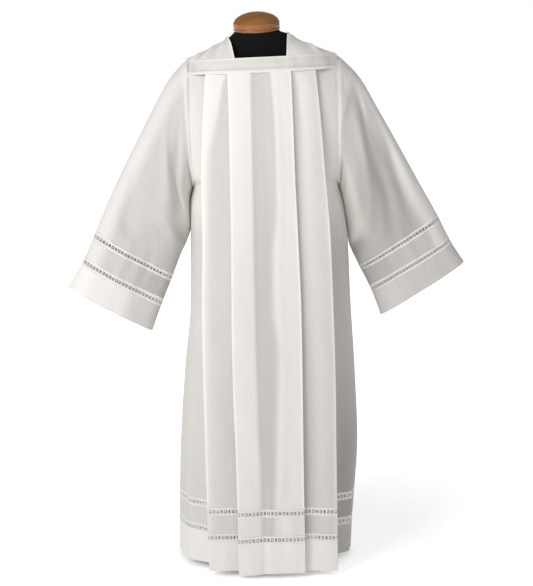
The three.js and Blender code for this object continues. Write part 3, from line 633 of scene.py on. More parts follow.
def panel_grid(panel, heights):
    """The middle of a panel's cloth at each height, left to right as seen from outside, and its sheerness and
    painted light there."""
    z = np.asarray(heights, float)
    left, right, front, back, edge, drop, slant = smooth_table(BODY, z).T
    depth = front if panel["side"] < 0 else back
    if panel["side"] > 0:
        left, right = -right, -left
    a, b, c, d, rise_left, rise_right, step_left, step_right = smooth_table(panel["folds"], z).T
    reach, middle = (right - left) / 2, (right + left) / 2
    layer = LAYER_GAP + LAYER_OPENING * (1 - (z - HEM) / (BAND_LOW - HEM)) ** LAYER_LATENESS
    seam_y = np.where(edge > SEAM, edge, SEAM / 2)

    def flat(x):
        grown = [v[:, None] if np.ndim(x) > 1 else v for v in (middle, reach, depth, drop)]
        away = np.minimum(np.abs(x - grown[0]) / grown[1], 1)
        return grown[2] - grown[3] * away**FLAT_CURVE

    def mixed(start, end, t):
        return start[:, None] + (end - start)[:, None] * t

    def strip(x0, y0, x1, y1, count, ends=""):
        t = shares(count, ends)
        return mixed(x0, x1, t), mixed(y0, y1, t), np.zeros((len(z), count))

    def sheer_and_painted_shade_of(zone, x):
        start, end, soft_start, soft_end = (v[:, None] for v in smooth_table(panel["single"][zone], z).T)
        single = ease(x, start - soft_start, start + soft_start) * (
            1 - ease(x, end - soft_end, end + soft_end)
        )
        outside, inside = (v[:, None] for v in smooth_table(panel["tones"][zone], z).T)
        return outside + (inside - outside) * single

    # a folded edge painted whiter: its layered cloth and a painted highlight
    def edge_layers_and_highlight(x, fold):
        return EDGE_LAYERS_AND_HIGHLIGHT * np.exp(-(((x - fold[:, None]) / EDGE_LAYERS_AND_HIGHLIGHT_WIDTH) ** 2))

    def waves_on(across, place, seed, size, top, added, start):
        return unevenness(across, place, size, seed) * (
            top + added * ease(-z, -start, -WAVES_WHOLE)[:, None]
        )

    def surface(zone, x, y):
        place = z[:, None] * np.ones(x.shape)
        waves = waves_on(x, place, panel["seed"], *FLAT_WAVES)
        return y + relief(panel["creases"][zone], place, x) + waves

    def half(zone, fold, box_edge, rise, step, seam_x, turn):
        inner_y = flat(fold) - step
        inner_x = fold + turn * UNDERLAY
        t = shares(SIDE_COLUMNS, "end")[None, :]
        corner_x = (seam_x + turn * slant)[:, None]
        points = []
        for ends, corner, seam in (
            (inner_x[:, None], corner_x, seam_x[:, None]),
            (inner_y[:, None], inner_y[:, None], seam_y[:, None]),
        ):
            p1 = seam + (corner - seam) * SIDE_PULL
            p2 = ends + (corner - ends) * SIDE_PULL
            points.append(
                seam * (1 - t) ** 3 + 3 * p1 * t * (1 - t) ** 2 + 3 * p2 * t * t * (1 - t) + ends * t**3
            )
        x, y = points
        place = z[:, None] * np.ones(x.shape)
        way = 1 - t
        side_name = zone.replace("recess", "side")
        bump = relief(panel["creases"][side_name], place, way * np.ones(x.shape))
        bump += waves_on(way * SIDE_SPREAD, place, panel["seed"] + 5, *SIDE_WAVES)
        bump *= ease(t, 0, 0.06) * ease(way, 0, 0.1)
        slope_x, slope_y = np.gradient(x, axis=1), np.gradient(y, axis=1)
        length = np.maximum(np.hypot(slope_x, slope_y), 1e-6)
        x = x - turn * bump * slope_y / length
        y = y + turn * bump * slope_x / length
        side_sheer_and_painted_light = SIDE_TONE * np.ones(place.shape)
        # painted shade: the right side, away from the light, is painted darker, more so lower down
        if turn * panel["side"] > 0:
            far = FAR_SIDE_PAINTED_SHADE
            for start, end, added in FAR_SIDE_SHADE_FALL:
                far = far + added * ease(-place, -start, -end)
            side_sheer_and_painted_light += far
        # painted light: the side is painted lighter close under the armpit and above it
        under_arm = ease(-place, -1076, -1062) * (1 - ease(-place, -1062, -880))
        over_arm = ease(place, *OVER_ARM)
        side_sheer_and_painted_light = side_sheer_and_painted_light * (1 - UNDER_ARM_PAINTED_LIGHT * under_arm)
        side_sheer_and_painted_light = side_sheer_and_painted_light * (1 - OVER_ARM_PAINTED_LIGHT * over_arm)
        by_fold = FOLD_TONE * over_arm
        blocks = [(x, y, side_sheer_and_painted_light * (by_fold + (1 - by_fold) * ease(way, 0.02, 0.2)))]
        blocks.append(strip(inner_x, inner_y, inner_x, inner_y + layer, TURN_COLUMNS))
        blocks.append(strip(inner_x, inner_y + layer, fold, flat(fold) - layer, FLANK_COLUMNS, "both"))
        blocks.append(strip(fold, flat(fold) - layer, fold, flat(fold), TURN_COLUMNS))
        x = mixed(fold, box_edge + turn * UNDERLAY, shares(RECESS_COLUMNS, "both"))
        y = surface(zone, x, flat(x))
        blocks.append((x, y, sheer_and_painted_shade_of(zone, x) - edge_layers_and_highlight(x, fold)))
        under_x, under_y = box_edge + turn * UNDERLAY, flat(box_edge + turn * UNDERLAY)
        blocks.append(strip(under_x, under_y, under_x, under_y + layer, TURN_COLUMNS))
        top = flat(box_edge) + rise
        blocks.append(strip(under_x, under_y + layer, box_edge, top - layer, FLANK_COLUMNS, "both"))
        blocks.append(strip(box_edge, top - layer, box_edge, top, TURN_COLUMNS))
        return blocks

    blocks = half("left_recess", a, b, rise_left, step_left, left, 1)
    t = shares(BOX_COLUMNS, "both")[None, :]
    x = mixed(b, c, t)
    rise = rise_left[:, None] + (rise_right - rise_left)[:, None] * t
    low, high = (b + UNDERLAY)[:, None], (c - UNDERLAY)[:, None]
    low_start, low_end, high_start, high_end = BOX_HOLLOW_ENDS
    hollow = ease(x, low + low_start, low + low_end) * (1 - ease(x, high + high_start, high + high_end))
    y = surface("box", x, flat(x) + rise - BOX_HOLLOW * hollow)
    box_sheer_and_painted_light = sheer_and_painted_shade_of("box", x) - edge_layers_and_highlight(x, b) - edge_layers_and_highlight(x, c)
    blocks.append((x, y, box_sheer_and_painted_light))
    after = half("right_recess", d, c, rise_right, step_right, right, -1)
    blocks_right = [tuple(part[:, ::-1] for part in block) for block in reversed(after)]
    # the turned-round blocks lose the step before them and gain the seam's own point
    x, y, sheer = (
        np.concatenate([block[k] for block in blocks + blocks_right], axis=1) for k in range(3)
    )
    start = sum(block[0].shape[1] for block in blocks)
    x = np.insert(x, start, c, axis=1)
    y = np.insert(y, start, flat(c) + rise_right, axis=1)
    # the corner point is painted whiter: layered cloth and a painted highlight
    sheer = np.insert(sheer, start, CORNER_LAYERS_AND_HIGHLIGHT, axis=1)
    for _ in range(2):
        for part in (x, y):
            part[:, 1:-1] = (part[:, :-2] + 2 * part[:, 1:-1] + part[:, 2:]) / 4
    share = np.clip((x - b[:, None]) / (c - b)[:, None], 0, 1)
    on_box = (x >= b[:, None] - 1) & (x <= c[:, None] + 1)
    fall = panel["corner_drop"] * (1 - share) * ease(-z, -BOX_CORNER_FROM, -HEM)[:, None]
    outer = y > flat(x) + OUTER_RISE * rise_left[:, None]
    height = z[:, None] - np.where(on_box & outer, fall, 0)
    side = panel["side"]
    return leaned(-side * x, side * y, height), sheer


CLOSE_ROWS = (ARMPIT - 14, ARMPIT + 44)  # where the rows of points lie twice as close


def heights_between(top, bottom, spacing):
    """Heights from top to bottom, closer together round the bottom of the armholes."""
    low, high = CLOSE_ROWS
    knots = [top] + [z for z in (high, low) if bottom < z < top] + [bottom]
    parts = []
    for start, end in zip(knots[:-1], knots[1:]):
        close = start <= high and end >= low
        count = max(2, int(round((start - end) / (spacing / (2 if close else 1)))))
        parts.append(np.linspace(start, end, count + 1)[:-1])
    return np.concatenate(parts + [[bottom]])


# ---- yoke and shoulders ----

BAND_HALF = 200
BAND_COLUMNS = 150
BAND_PROUD = 4  # how far the band's lower edge stands off the pleats
BAND_INSET = 3  # how far its upper edge lies further back in the middle
BAND_END_DROP = 5
BAND_END_DEPTH = 29
BAND_BULGE = 1.5
BAND_WAVE_WIDTH = 40  # the width that the band's waves take the band to have
SHOULDER_ROWS = 64
SHOULDER_ARCH = 2.2
NECK_SPLAY = 1.5
ARM_CLEAR = 0.6
SHOULDER_LAP = 0.6  # how far a shoulder's edge laps behind the top of a band
SHOULDER_RELIEF = 3.0
SHOULDER_LIFT = 1.0  # the cloth stands this far up over the form's shoulder
SHOULDER_SINK = 0.08  # a hollow sinks only so far, because the form is close below
SHOULDER_WAVES = 0.3
NECK_EDGE = 0.045  # the share of a shoulder's width that its folded neck edge takes
NECK_EDGE_ROLL = 0.8  # how far that edge stands up
# the folded neck edge is painted whiter, for its layered cloth and as a painted highlight
NECK_EDGE_LAYERS_AND_HIGHLIGHT = -0.8


def band_edges(panel, x):
    """The lower and the upper edge of a yoke band at each x."""
    top = smooth_table(BODY, BAND_LOW)
    depth = top[panel["depth"]]
    share = np.minimum(np.abs(x) / BAND_HALF, 1)
    low = depth - (depth - top[4]) * share**FLAT_CURVE
    crown = depth - BAND_INSET
    high = crown - (crown - BAND_END_DEPTH) * share**3
    proud = BAND_PROUD * (1 - share**4)
    side = panel["side"]
    return (
        leaned(x, side * (low + proud), np.full(x.shape, BAND_LOW + SEAM / 2)),
        leaned(x, side * high, BAND_TOP - BAND_END_DROP * share**4 - SEAM / 2),
    )


# share up the band, how far its face stands out there, how white it reads: painted darker where the face lies
# low and whiter where it stands out, as painted shade and painted highlight
BAND_PROFILE = (
    (0, 0.6, 0.4), (0.03, 1.5, 0.1), (0.1, 1.8, 0.3), (0.17, 1.6, 0.35), (0.205, 1.3, 0.3),
    (0.225, 0.5, 0.75), (0.26, 0.2, 0.8), (0.4, 0.5, 0.55), (0.6, 0.6, 0.5), (0.8, 0.4, 0.5),
    (0.92, 0.3, 0.45), (0.94, 0.7, 0.3), (0.97, 1.1, 0.0), (1, 0.7, 0.1),
)
BAND_RELIEF = 2.0
BAND_TONE = 0.2
BAND_SAG = 1.6  # how far the band's lower edge falls over the pleats, unevenly
# x of a small crease in the band, its half width, its rise, share up the band it is at
BAND_CREASES = {
    "front": (
        (-186, 3, 1.4, 0.35), (-178, 4, -1.6, 0.5), (-166, 5, 1.2, 0.65), (-150, 7, -1.0, 0.5),
        (-120, 14, 0.8, 0.5), (-60, 24, -0.8, 0.6), (30, 22, 0.8, 0.5), (110, 26, -0.8, 0.5),
        (168, 7, 0.9, 0.5), (186, 4, -1.2, 0.5),
    ),
    "back": (
        (-180, 5, -1.3, 0.5), (-150, 8, 0.9, 0.5), (-70, 22, -0.8, 0.5), (20, 26, 0.8, 0.5),
        (96, 20, -0.9, 0.5), (160, 7, 0.9, 0.5), (184, 4, -1.2, 0.5),
    ),
}


def band_grid(name):
    """A yoke band's cloth, rows from its top down, and its sheerness and painted light there."""
    panel = PANELS[name]
    top = smooth_table(BODY, BAND_LOW)
    x = np.linspace(top[0], top[1], BAND_COLUMNS)
    low, high = band_edges(panel, x)
    rows = np.array(BAND_PROFILE)
    up = np.concatenate([rows[:-1, 0], np.linspace(0.3, 0.88, 9), [1]])
    up = np.unique(np.round(up, 4))[::-1]
    out, sheer = smooth_table(rows, up).T
    grid = low + (high - low) * up[:, None, None]
    bulge = BAND_BULGE * np.sin(math.pi * up) + out
    waves = sum(
        rise * np.exp(-(((x - place) / width) ** 2)) * np.exp(-(((up[:, None] - at) / 0.3) ** 2))
        for place, width, rise, at in BAND_CREASES[name]
    )
    rough = unevenness(x[None, :], up[:, None] * BAND_WAVE_WIDTH, 46, panel["seed"] + 2)
    waves = BAND_RELIEF * waves + 0.8 * rough
    grid[..., 1] += panel["side"] * (bulge[:, None] + waves)
    proud = 1 - np.minimum(np.abs(x) / BAND_HALF, 1) ** 4
    sag = BAND_SAG * proud * (0.5 + 0.5 * unevenness(x, np.zeros(x.shape), 34, panel["seed"] + 3))
    grid[..., 2] -= sag[None, :] * (1 - ease(up, 0, 0.3))[:, None]
    return grid, np.broadcast_to(sheer[:, None], grid.shape[:2])


# Soft diagonal creases of the shoulders: (share from the ridge to the front band, minus to
# the back, share from the neck to the armhole, half width as a share, rise)
SHOULDER_CREASES = {
    "left": (
        ((-0.9, 0.1, 0.05, 0), (-0.55, 0.14, 0.05, 0), (0.1, 0.02, 0.05, 1.2),
         (0.5, 0.16, 0.06, 2), (0.95, 0.34, 0.07, 0)),
        ((0, 0.22, 0.06, 0), (0.4, 0.42, 0.07, 2.2), (0.75, 0.6, 0.08, 1.6), (1, 0.72, 0.08, 0)),
        ((0, 0.32, 0.05, 0), (0.4, 0.52, 0.05, -2), (0.75, 0.7, 0.05, -1.6), (1, 0.8, 0.05, 0)),
        ((0.15, 0.62, 0.06, 0), (0.5, 0.76, 0.06, 1.8), (0.9, 0.9, 0.06, 0.6), (1, 0.94, 0.06, 0)),
        ((-1, 0.6, 0.07, 0), (-0.6, 0.48, 0.07, 1.8), (-0.2, 0.3, 0.06, 0)),
        ((-1, 0.82, 0.06, 0), (-0.6, 0.7, 0.06, -1.8), (-0.2, 0.52, 0.05, 0)),
    ),
    "right": (
        ((0, 0.16, 0.05, 0), (0.4, 0.06, 0.05, 2), (0.8, 0.02, 0.05, 0)),
        ((0, 0.4, 0.06, 0), (0.35, 0.5, 0.07, 2), (0.75, 0.64, 0.07, 1.4), (1, 0.72, 0.07, 0)),
        ((0.05, 0.54, 0.05, 0), (0.45, 0.66, 0.05, -2), (0.85, 0.8, 0.05, -1.2), (1, 0.86, 0.05, 0)),
        ((-1, 0.56, 0.07, 0), (-0.6, 0.46, 0.07, 1.8), (-0.2, 0.34, 0.06, 0)),
        ((-1, 0.78, 0.06, 0), (-0.55, 0.64, 0.06, -1.8), (-0.2, 0.5, 0.05, 0)),
    ),
}
# painted light: the tone of each shoulder; the right one, away from the key light, is painted lighter
SHOULDER_PAINTED_LIGHT = {"left": 0.2, "right": -0.9}
# painted highlight on a crease's ridge and painted shade in its hollow
CREASE_PAINTED_LIGHT = 0.35  # how much whiter a ridge reads, and a hollow darker
CREASE_PAINTED_LIGHT_FULL = 0.4  # the rise from which a ridge gets no whiter


def shoulder_grid(side):
    """A shoulder's cloth, rows from the front band over the ridge to the back band and
    columns from the neck to the armhole."""
    band_x, ridge_x = NECK[side]
    armhole = SLEEVES[side][-1][1]
    end = armhole - math.copysign(ARM_CLEAR, armhole)
    across = np.linspace(-1, 1, SHOULDER_ROWS)
    share = np.abs(across)[:, None]
    way = np.concatenate([[0, 0.012, 0.03, NECK_EDGE, 0.055], np.linspace(0.07, 1, 38)])[None, :]
    edge = ridge_x + (band_x - ridge_x) * share**NECK_SPLAY
    x = edge + (end - edge) * way
    high = np.where(
        across[:, None, None] < 0, band_edges(PANELS["front"], x)[1], band_edges(PANELS["back"], x)[1]
    )
    ridge = smooth_table(RIDGE, np.abs(x - RIDGE_X))[..., 0] + LEAN * x
    foot = high[..., 2] - SHOULDER_LAP
    z = ridge - (ridge - foot) * share**SHOULDER_ARCH
    creases = relief(SHOULDER_CREASES[side], -across[:, None], way)
    z += SHOULDER_RELIEF * np.maximum(creases, SHOULDER_SINK * creases)
    z += SHOULDER_LIFT * (1 - share**2)
    y = high[..., 1] * share
    off_ridge, off_band = ease(share, 0, 0.3), 1 - ease(share, 0.85, 1)
    z += SHOULDER_WAVES * unevenness(x, y, 52, 31) * off_ridge * off_band
    z += NECK_EDGE_ROLL * (1 - ease(way, 0.035, 0.05))
    # painted light: each shoulder's own tone, a ridge painted whiter and a hollow darker
    tone = SHOULDER_PAINTED_LIGHT[side] - CREASE_PAINTED_LIGHT * np.minimum(creases, CREASE_PAINTED_LIGHT_FULL)
    sheer = np.where(way < NECK_EDGE, NECK_EDGE_LAYERS_AND_HIGHLIGHT, tone)
    return np.stack([x, y, z], axis=-1), sheer


# ---- sleeves ----

ARM_SQUARENESS = 2.5
ARMHOLE_LAP = 4.0  # how far a sleeve's head laps over the armhole's edge
ARMHOLE_LAP_WIDTH = 16
SLEEVE_COLUMNS = 150
SLEEVE_SAMPLES = 1441  # round the plain ring that the columns are spread evenly on
SLEEVE_WAVES = (84, {"left": 41, "right": 42})  # from crest to crest, seeds
SLEEVE_SPREAD = 300  # the width that the waves take a sleeve's face to have
SLEEVE_WAVES_END = (520, 620)
PUCKER_HALF = 0.026  # half width of a pucker, as a share of the way
PUCKER_MIDDLE = 140
PUCKER_REACH = 70
# Where a sleeve's inner edge hangs a little behind the body's side: distances from the cuff
# where that begins and is whole, and where it ends again below the armpit
HANG = {"left": (310, 455, 655, 678), "right": (185, 350, 655, 678)}
HANG_BACK = 25
HANG_IN = 2.5
SEAM_ROLL = 1.6  # the armhole seam stands up in a soft roll
SEAM_ROLL_PLACE = 10  # that far down the sleeve


def sleeve_grid(side, alongs):
    """A sleeve's cloth as rings from the armhole down, each from its outer edge round the
    front."""
    alongs = np.asarray(alongs, float)
    out_x, out_z, in_x, in_z, half, y = smooth_table(SLEEVES[side], alongs).T
    angle = np.linspace(0, 2 * math.pi, SLEEVE_SAMPLES)
    lift = squared(np.cos(angle), ARM_SQUARENESS)
    face = -squared(np.sin(angle), ARM_SQUARENESS)
    reach = np.hypot(out_x - in_x, out_z - in_z) / 2
    lifts, faces = [], []
    for r, h in zip(reach, half):
        run = np.concatenate([[0], np.cumsum(np.hypot(np.diff(lift * r), np.diff(face * h)))])
        at = np.arange(SLEEVE_COLUMNS) / SLEEVE_COLUMNS * run[-1]
        lifts.append(np.interp(at, run, lift))
        faces.append(np.interp(at, run, face))
    lift, face = np.array(lifts), np.array(faces)
    share = (1 - lift) / 2
    along = alongs[:, None] * np.ones(share.shape)
    fold = np.where(
        face < 0,
        relief(SLEEVE_CREASES[(side, -1)], along, share),
        relief(SLEEVE_CREASES[(side, 1)], along, share),
    )
    size, seeds = SLEEVE_WAVES
    waves = unevenness(share * SLEEVE_SPREAD + 1000 * (face > 0), along, size, seeds[side])
    fold += waves * (1 - ease(along, *SLEEVE_WAVES_END))
    near_lace = np.exp(-(((along - PUCKER_MIDDLE) / PUCKER_REACH) ** 2))
    for place, rise in SLEEVE_PUCKERS:
        fold += rise * np.exp(-(((share - place) / PUCKER_HALF) ** 2)) * near_lace
    fold *= ease(np.abs(face), 0.2, 0.9) * ease(-along, -ARMHOLE, -ARMHOLE + 30)
    roll = np.exp(-(((along - ARMHOLE + SEAM_ROLL_PLACE) / 7) ** 2))
    fold += SEAM_ROLL * roll * ease(np.abs(face), 0, 0.4)
    middle_x, middle_z = (out_x + in_x) / 2, (out_z + in_z) / 2
    x = middle_x[:, None] + (out_x - middle_x)[:, None] * lift
    z = middle_z[:, None] + (out_z - middle_z)[:, None] * lift
    depth = y[:, None] + face * half[:, None] + np.sign(face) * fold
    start, whole, ending, end = HANG[side]
    hang = ease(share, 0.7, 1) * ease(along, start, whole) * (1 - ease(along, ending, end))
    depth += HANG_BACK * hang
    lap = ARMHOLE_LAP * ease(along, ARMHOLE - ARMHOLE_LAP_WIDTH, ARMHOLE) + HANG_IN * hang
    return np.stack([x + (lap if side == "left" else -lap), depth, z], axis=-1)


# ---- things that repeat along a path ----

def feed(tree, node, inputs):
    """Gives a node its inputs, as plain values or as sockets."""
    for key, value in inputs.items():
        if isinstance(value, bpy.types.NodeSocket):
            tree.links.new(value, node.inputs[key])
        else:
            node.inputs[key].default_value = value


def wire(tree, kind, inputs=None, **settings):
    """A new node with its settings and its inputs."""
    node = tree.nodes.new(kind)
    for key, value in settings.items():
        setattr(node, key, value)
    feed(tree, node, inputs or {})
    return node


def sum_of(tree, operation, *values):
    """The result of one step of arithmetic on numbers or sockets."""
    return wire(tree, "ShaderNodeMath", dict(enumerate(values)), operation=operation).outputs[0]


def path_tree():
    """Copies a motif along a path: the copies are laid out straight, along X with Z up,
    and then every point is carried to the path, whose points hold the directions up and
    out as attributes."""
    tree = bpy.data.node_groups.new("repeat along a path", "GeometryNodeTree")
    for name, kind in (
        ("Geometry", "Geometry"), ("Motif", "Object"), ("Count", "Int"), ("Pitch", "Float"),
        ("Unevenness", "Float"), ("Seed", "Int"), ("Material", "Material"),
    ):
        tree.interface.new_socket(name, in_out="INPUT", socket_type=f"NodeSocket{kind}")
    tree.interface.new_socket("Geometry", in_out="OUTPUT", socket_type="NodeSocketGeometry")
    given = tree.nodes.new("NodeGroupInput").outputs
    motif = wire(tree, "GeometryNodeObjectInfo", {"Object": given["Motif"]}, transform_space="ORIGINAL")
    step = wire(tree, "ShaderNodeCombineXYZ", {"X": given["Pitch"]}).outputs[0]
    half = wire(tree, "ShaderNodeVectorMath", {0: step, "Scale": 0.5}, operation="SCALE").outputs[0]
    row = wire(
        tree, "GeometryNodeMeshLine",
        {"Count": given["Count"], "Start Location": half, "Offset": step}, mode="OFFSET",
    )
    size = wire(tree, "FunctionNodeRandomValue", {"Seed": given["Seed"]}, data_type="FLOAT")
    least, most = (
        [socket for socket in size.inputs if socket.name == name and socket.type == "VALUE"][0]
        for name in ("Min", "Max")
    )
    tree.links.new(sum_of(tree, "SUBTRACT", 1.0, given["Unevenness"]), least)
    most.default_value = 1.0
    scale = [socket for socket in size.outputs if socket.type == "VALUE"][0]
    copies = wire(
        tree, "GeometryNodeInstanceOnPoints",
        {"Points": row.outputs["Mesh"], "Instance": motif.outputs["Geometry"], "Scale": scale},
    )
    real = wire(tree, "GeometryNodeRealizeInstances", {0: copies.outputs[0]})
    curve = wire(tree, "GeometryNodeMeshToCurve", {"Mesh": given["Geometry"]}).outputs[0]
    place = wire(tree, "GeometryNodeInputPosition").outputs[0]
    split = wire(tree, "ShaderNodeSeparateXYZ", {0: place}).outputs
    carried = None
    for name, axis in (("up", "Z"), ("out", "Y")):
        way = wire(tree, "GeometryNodeInputNamedAttribute", {"Name": name}, data_type="FLOAT_VECTOR")
        sample = wire(
            tree, "GeometryNodeSampleCurve",
            {"Curves": curve, "Value": way.outputs["Attribute"], "Length": split["X"]},
            data_type="FLOAT_VECTOR", mode="LENGTH",
        ).outputs
        part = wire(
            tree, "ShaderNodeVectorMath", {0: sample["Value"], "Scale": split[axis]}, operation="SCALE"
        )
        start = carried.outputs[0] if carried else sample["Position"]
        carried = wire(tree, "ShaderNodeVectorMath", {0: part.outputs[0], 1: start}, operation="ADD")
    moved = wire(
        tree, "GeometryNodeSetPosition", {"Geometry": real.outputs[0], "Position": carried.outputs[0]}
    )
    painted = wire(
        tree, "GeometryNodeSetMaterial", {"Geometry": moved.outputs[0], "Material": given["Material"]}
    )
    tree.links.new(painted.outputs[0], tree.nodes.new("NodeGroupOutput").inputs[0])
    return tree


def along_path(name, points, up, out, motif, pitch, material, closed=False, unevenness_share=0.0, seed=1):
    """A plain mesh of a motif repeated along a path given in millimetres."""
    points, up, out = (np.asarray(v, float) for v in (points, up, out))
    if closed:
        points, up, out = (np.concatenate([v, v[:1]]) for v in (points, up, out))
    length = np.linalg.norm(np.diff(points, axis=0), axis=1).sum() * MM
    count = max(1, int(round(length / pitch)))
    line = bpy.data.meshes.new(name)
    line.from_pydata((points * MM).tolist(), [(k, k + 1) for k in range(len(points) - 1)], [])
    for key, value in (("up", up), ("out", out)):
        attribute = line.attributes.new(key, "FLOAT_VECTOR", "POINT")
        attribute.data.foreach_set("vector", np.asarray(value, np.float32).ravel())
    thing = bpy.data.objects.new(name, line)
    bpy.context.scene.collection.objects.link(thing)
    tree = bpy.data.node_groups.get("repeat along a path") or path_tree()
    modifier = thing.modifiers.new("repeat", "NODES")
    modifier.node_group = tree
    values = {
        "Motif": motif, "Count": count, "Pitch": length / count,
        "Unevenness": unevenness_share, "Seed": seed, "Material": material,
    }
    for item in tree.interface.items_tree:
        if item.in_out == "INPUT" and item.name in values:
            modifier[item.identifier] = values[item.name]
    bpy.context.view_layer.update()
    shown = thing.evaluated_get(bpy.context.evaluated_depsgraph_get())
    mesh = bpy.data.meshes.new_from_object(shown)
    mesh.name = name
    thing.modifiers.clear()
    thing.data = mesh
    bpy.data.meshes.remove(line)
    return thing


def bars_mesh(name, bars):
    """The mesh of a motif made of bars: (points along it in X and Z, half width, half
    thickness, whether it is a ring, rise out of the cloth), in millimetres."""
    points, faces = [], []
    for line, wide, thick, closed, rise in bars:
        line = np.array(line, float)
        count = len(line)
        first = len(points)
        if closed:
            tangent = np.roll(line, -1, axis=0) - np.roll(line, 1, axis=0)
        else:
            tangent = np.gradient(line, axis=0)
        tangent /= np.linalg.norm(tangent, axis=1, keepdims=True)
        beside = np.stack([-tangent[:, 1], tangent[:, 0]], 1)
        wide, thick, rise = (np.broadcast_to(v, count) for v in (wide, thick, rise))
        for k in range(count):
            for way, out in ((-1, -1), (1, -1), (1, 1), (-1, 1)):
                place = line[k] + way * beside[k] * wide[k]
                points.append((place[0], rise[k] + out * thick[k], place[1]))
        for k in range(count if closed else count - 1):
            a, b = first + 4 * k, first + 4 * ((k + 1) % count)
            faces += [(a + j, a + (j + 1) % 4, b + (j + 1) % 4, b + j) for j in range(4)]
        if not closed:
            end = first + 4 * (count - 1)
            faces += [(first + 3, first + 2, first + 1, first), (end, end + 1, end + 2, end + 3)]
    mesh = bpy.data.meshes.new(name)
    mesh.from_pydata((np.array(points) * MM).tolist(), [], faces)
    solid = bmesh.new()
    solid.from_mesh(mesh)
    bmesh.ops.recalc_face_normals(solid, faces=solid.faces)
    solid.to_mesh(mesh)
    solid.free()
    return mesh


def motif(name, bars):
    """A motif's object, kept out of the scene, made once."""
    return bpy.data.objects.get(name) or bpy.data.objects.new(name, bars_mesh(name, bars))


SKIRT_LACE_FULLNESS = 1.55  # the skirt's lace is denser than the sleeves'


def lace_motif(fullness):
    """Two bars, a leaf and a ring between them, with threads of fullness times the width."""
    leaf = ((1.2, 0), (5, 4.2), (8.8, 0), (5, -4.2))
    ring = [(15 + 1.7 * math.cos(k * math.pi / 3), 1.7 * math.sin(k * math.pi / 3)) for k in range(6)]
    thick = tuple(fullness * width for width in (1.5, 1.1, 1.5))
    bars = [
        (((0, -5.4), (0, 0), (0, 5.4)), thick, 0.55, False, 0),
        (((10, -5.4), (10, 0), (10, 5.4)), thick, 0.55, False, 0),
        (leaf, 0.55 * fullness, 0.35, True, 0),
        (ring, 0.6 * fullness, 0.35, True, 0),
        (((15, 1.7), (15, 5.4)), 0.5 * fullness, 0.3, False, 0),
        (((15, -1.7), (15, -5.4)), 0.5 * fullness, 0.3, False, 0),
    ]
    return motif(f"lace motif {fullness:.2f}", bars)


def stitch_motif():
    """One stitch, thickest and highest in its middle."""
    line = ((0.6, 0), (2, 0), (3.4, 0))
    return motif("stitch", [(line, (0.14, 0.3, 0.14), 0.18, False, (0, 0.22, 0))])


# ---- lines on the cloth ----

def facing_out(grid, ring, toward=None):
    """Unit normals of a grid that point away from the wearer."""
    normal = normals_of(grid, ring)
    row, column = grid.shape[0] // 2, 0 if ring else grid.shape[1] // 2
    if toward is None:
        toward = grid[row, column] - grid[row].mean(axis=0)
    return normal if normal[row, column] @ np.asarray(toward, float) > 0 else -normal


def line_on(grid, normal, row=slice(None), column=slice(None), lift=0.0):
    """A row or a column of a grid as a line lifted off the cloth: its points, the way up
    the cloth and the way out of it."""
    points, out = grid[row, column], normal[row, column]
    tangent = np.gradient(points, axis=0)
    tangent /= np.maximum(np.linalg.norm(tangent, axis=1, keepdims=True), 1e-9)
    return points + out * lift, np.cross(out, tangent), out


TAPE_TONE = 0.5
TAPE_RISE = (0.1, 0.35, 0.35, 0.1)  # how far a tape stands off the cloth, from edge to edge


def lace_strip(name, section, low, high, settings, material, toward=None, ring=False):
    """A lace insertion: a tape along each edge and openwork between them. section gives
    the middle of the cloth along lines at the places it is handed."""
    tape = math.copysign(settings.tape_width / MM, high - low)
    edges = ((high, high - tape), (low, low + tape))
    rise = np.array(TAPE_RISE)[:, None, None]
    parts = []
    for k, (outer, inner) in enumerate(edges):
        grid = section(np.linspace(outer, inner, len(TAPE_RISE)))
        grid = grid + facing_out(grid, ring, toward) * rise
        parts.append(wall(f"{name}_tape_{k}", grid, settings.tape / MM, TAPE_TONE, ring))
    gap = np.linspace(edges[0][1], edges[1][1], 3)
    grid = section(gap)
    out = facing_out(grid, ring, toward)[1]
    up = (grid[0] - grid[2]) / abs(gap[0] - gap[2])
    chart = lace_motif(1 if ring else SKIRT_LACE_FULLNESS)
    parts.append(
        along_path(f"{name}_openwork", grid[1], up, out, chart, settings.lace_period, material, ring)
    )
    thing = joined(parts, name)
    thing.data.shade_smooth()
    thing.data.set_sharp_from_angle(angle=math.radians(LACE_SHARP))
    return thing


# ---- the form, cap and stand ----

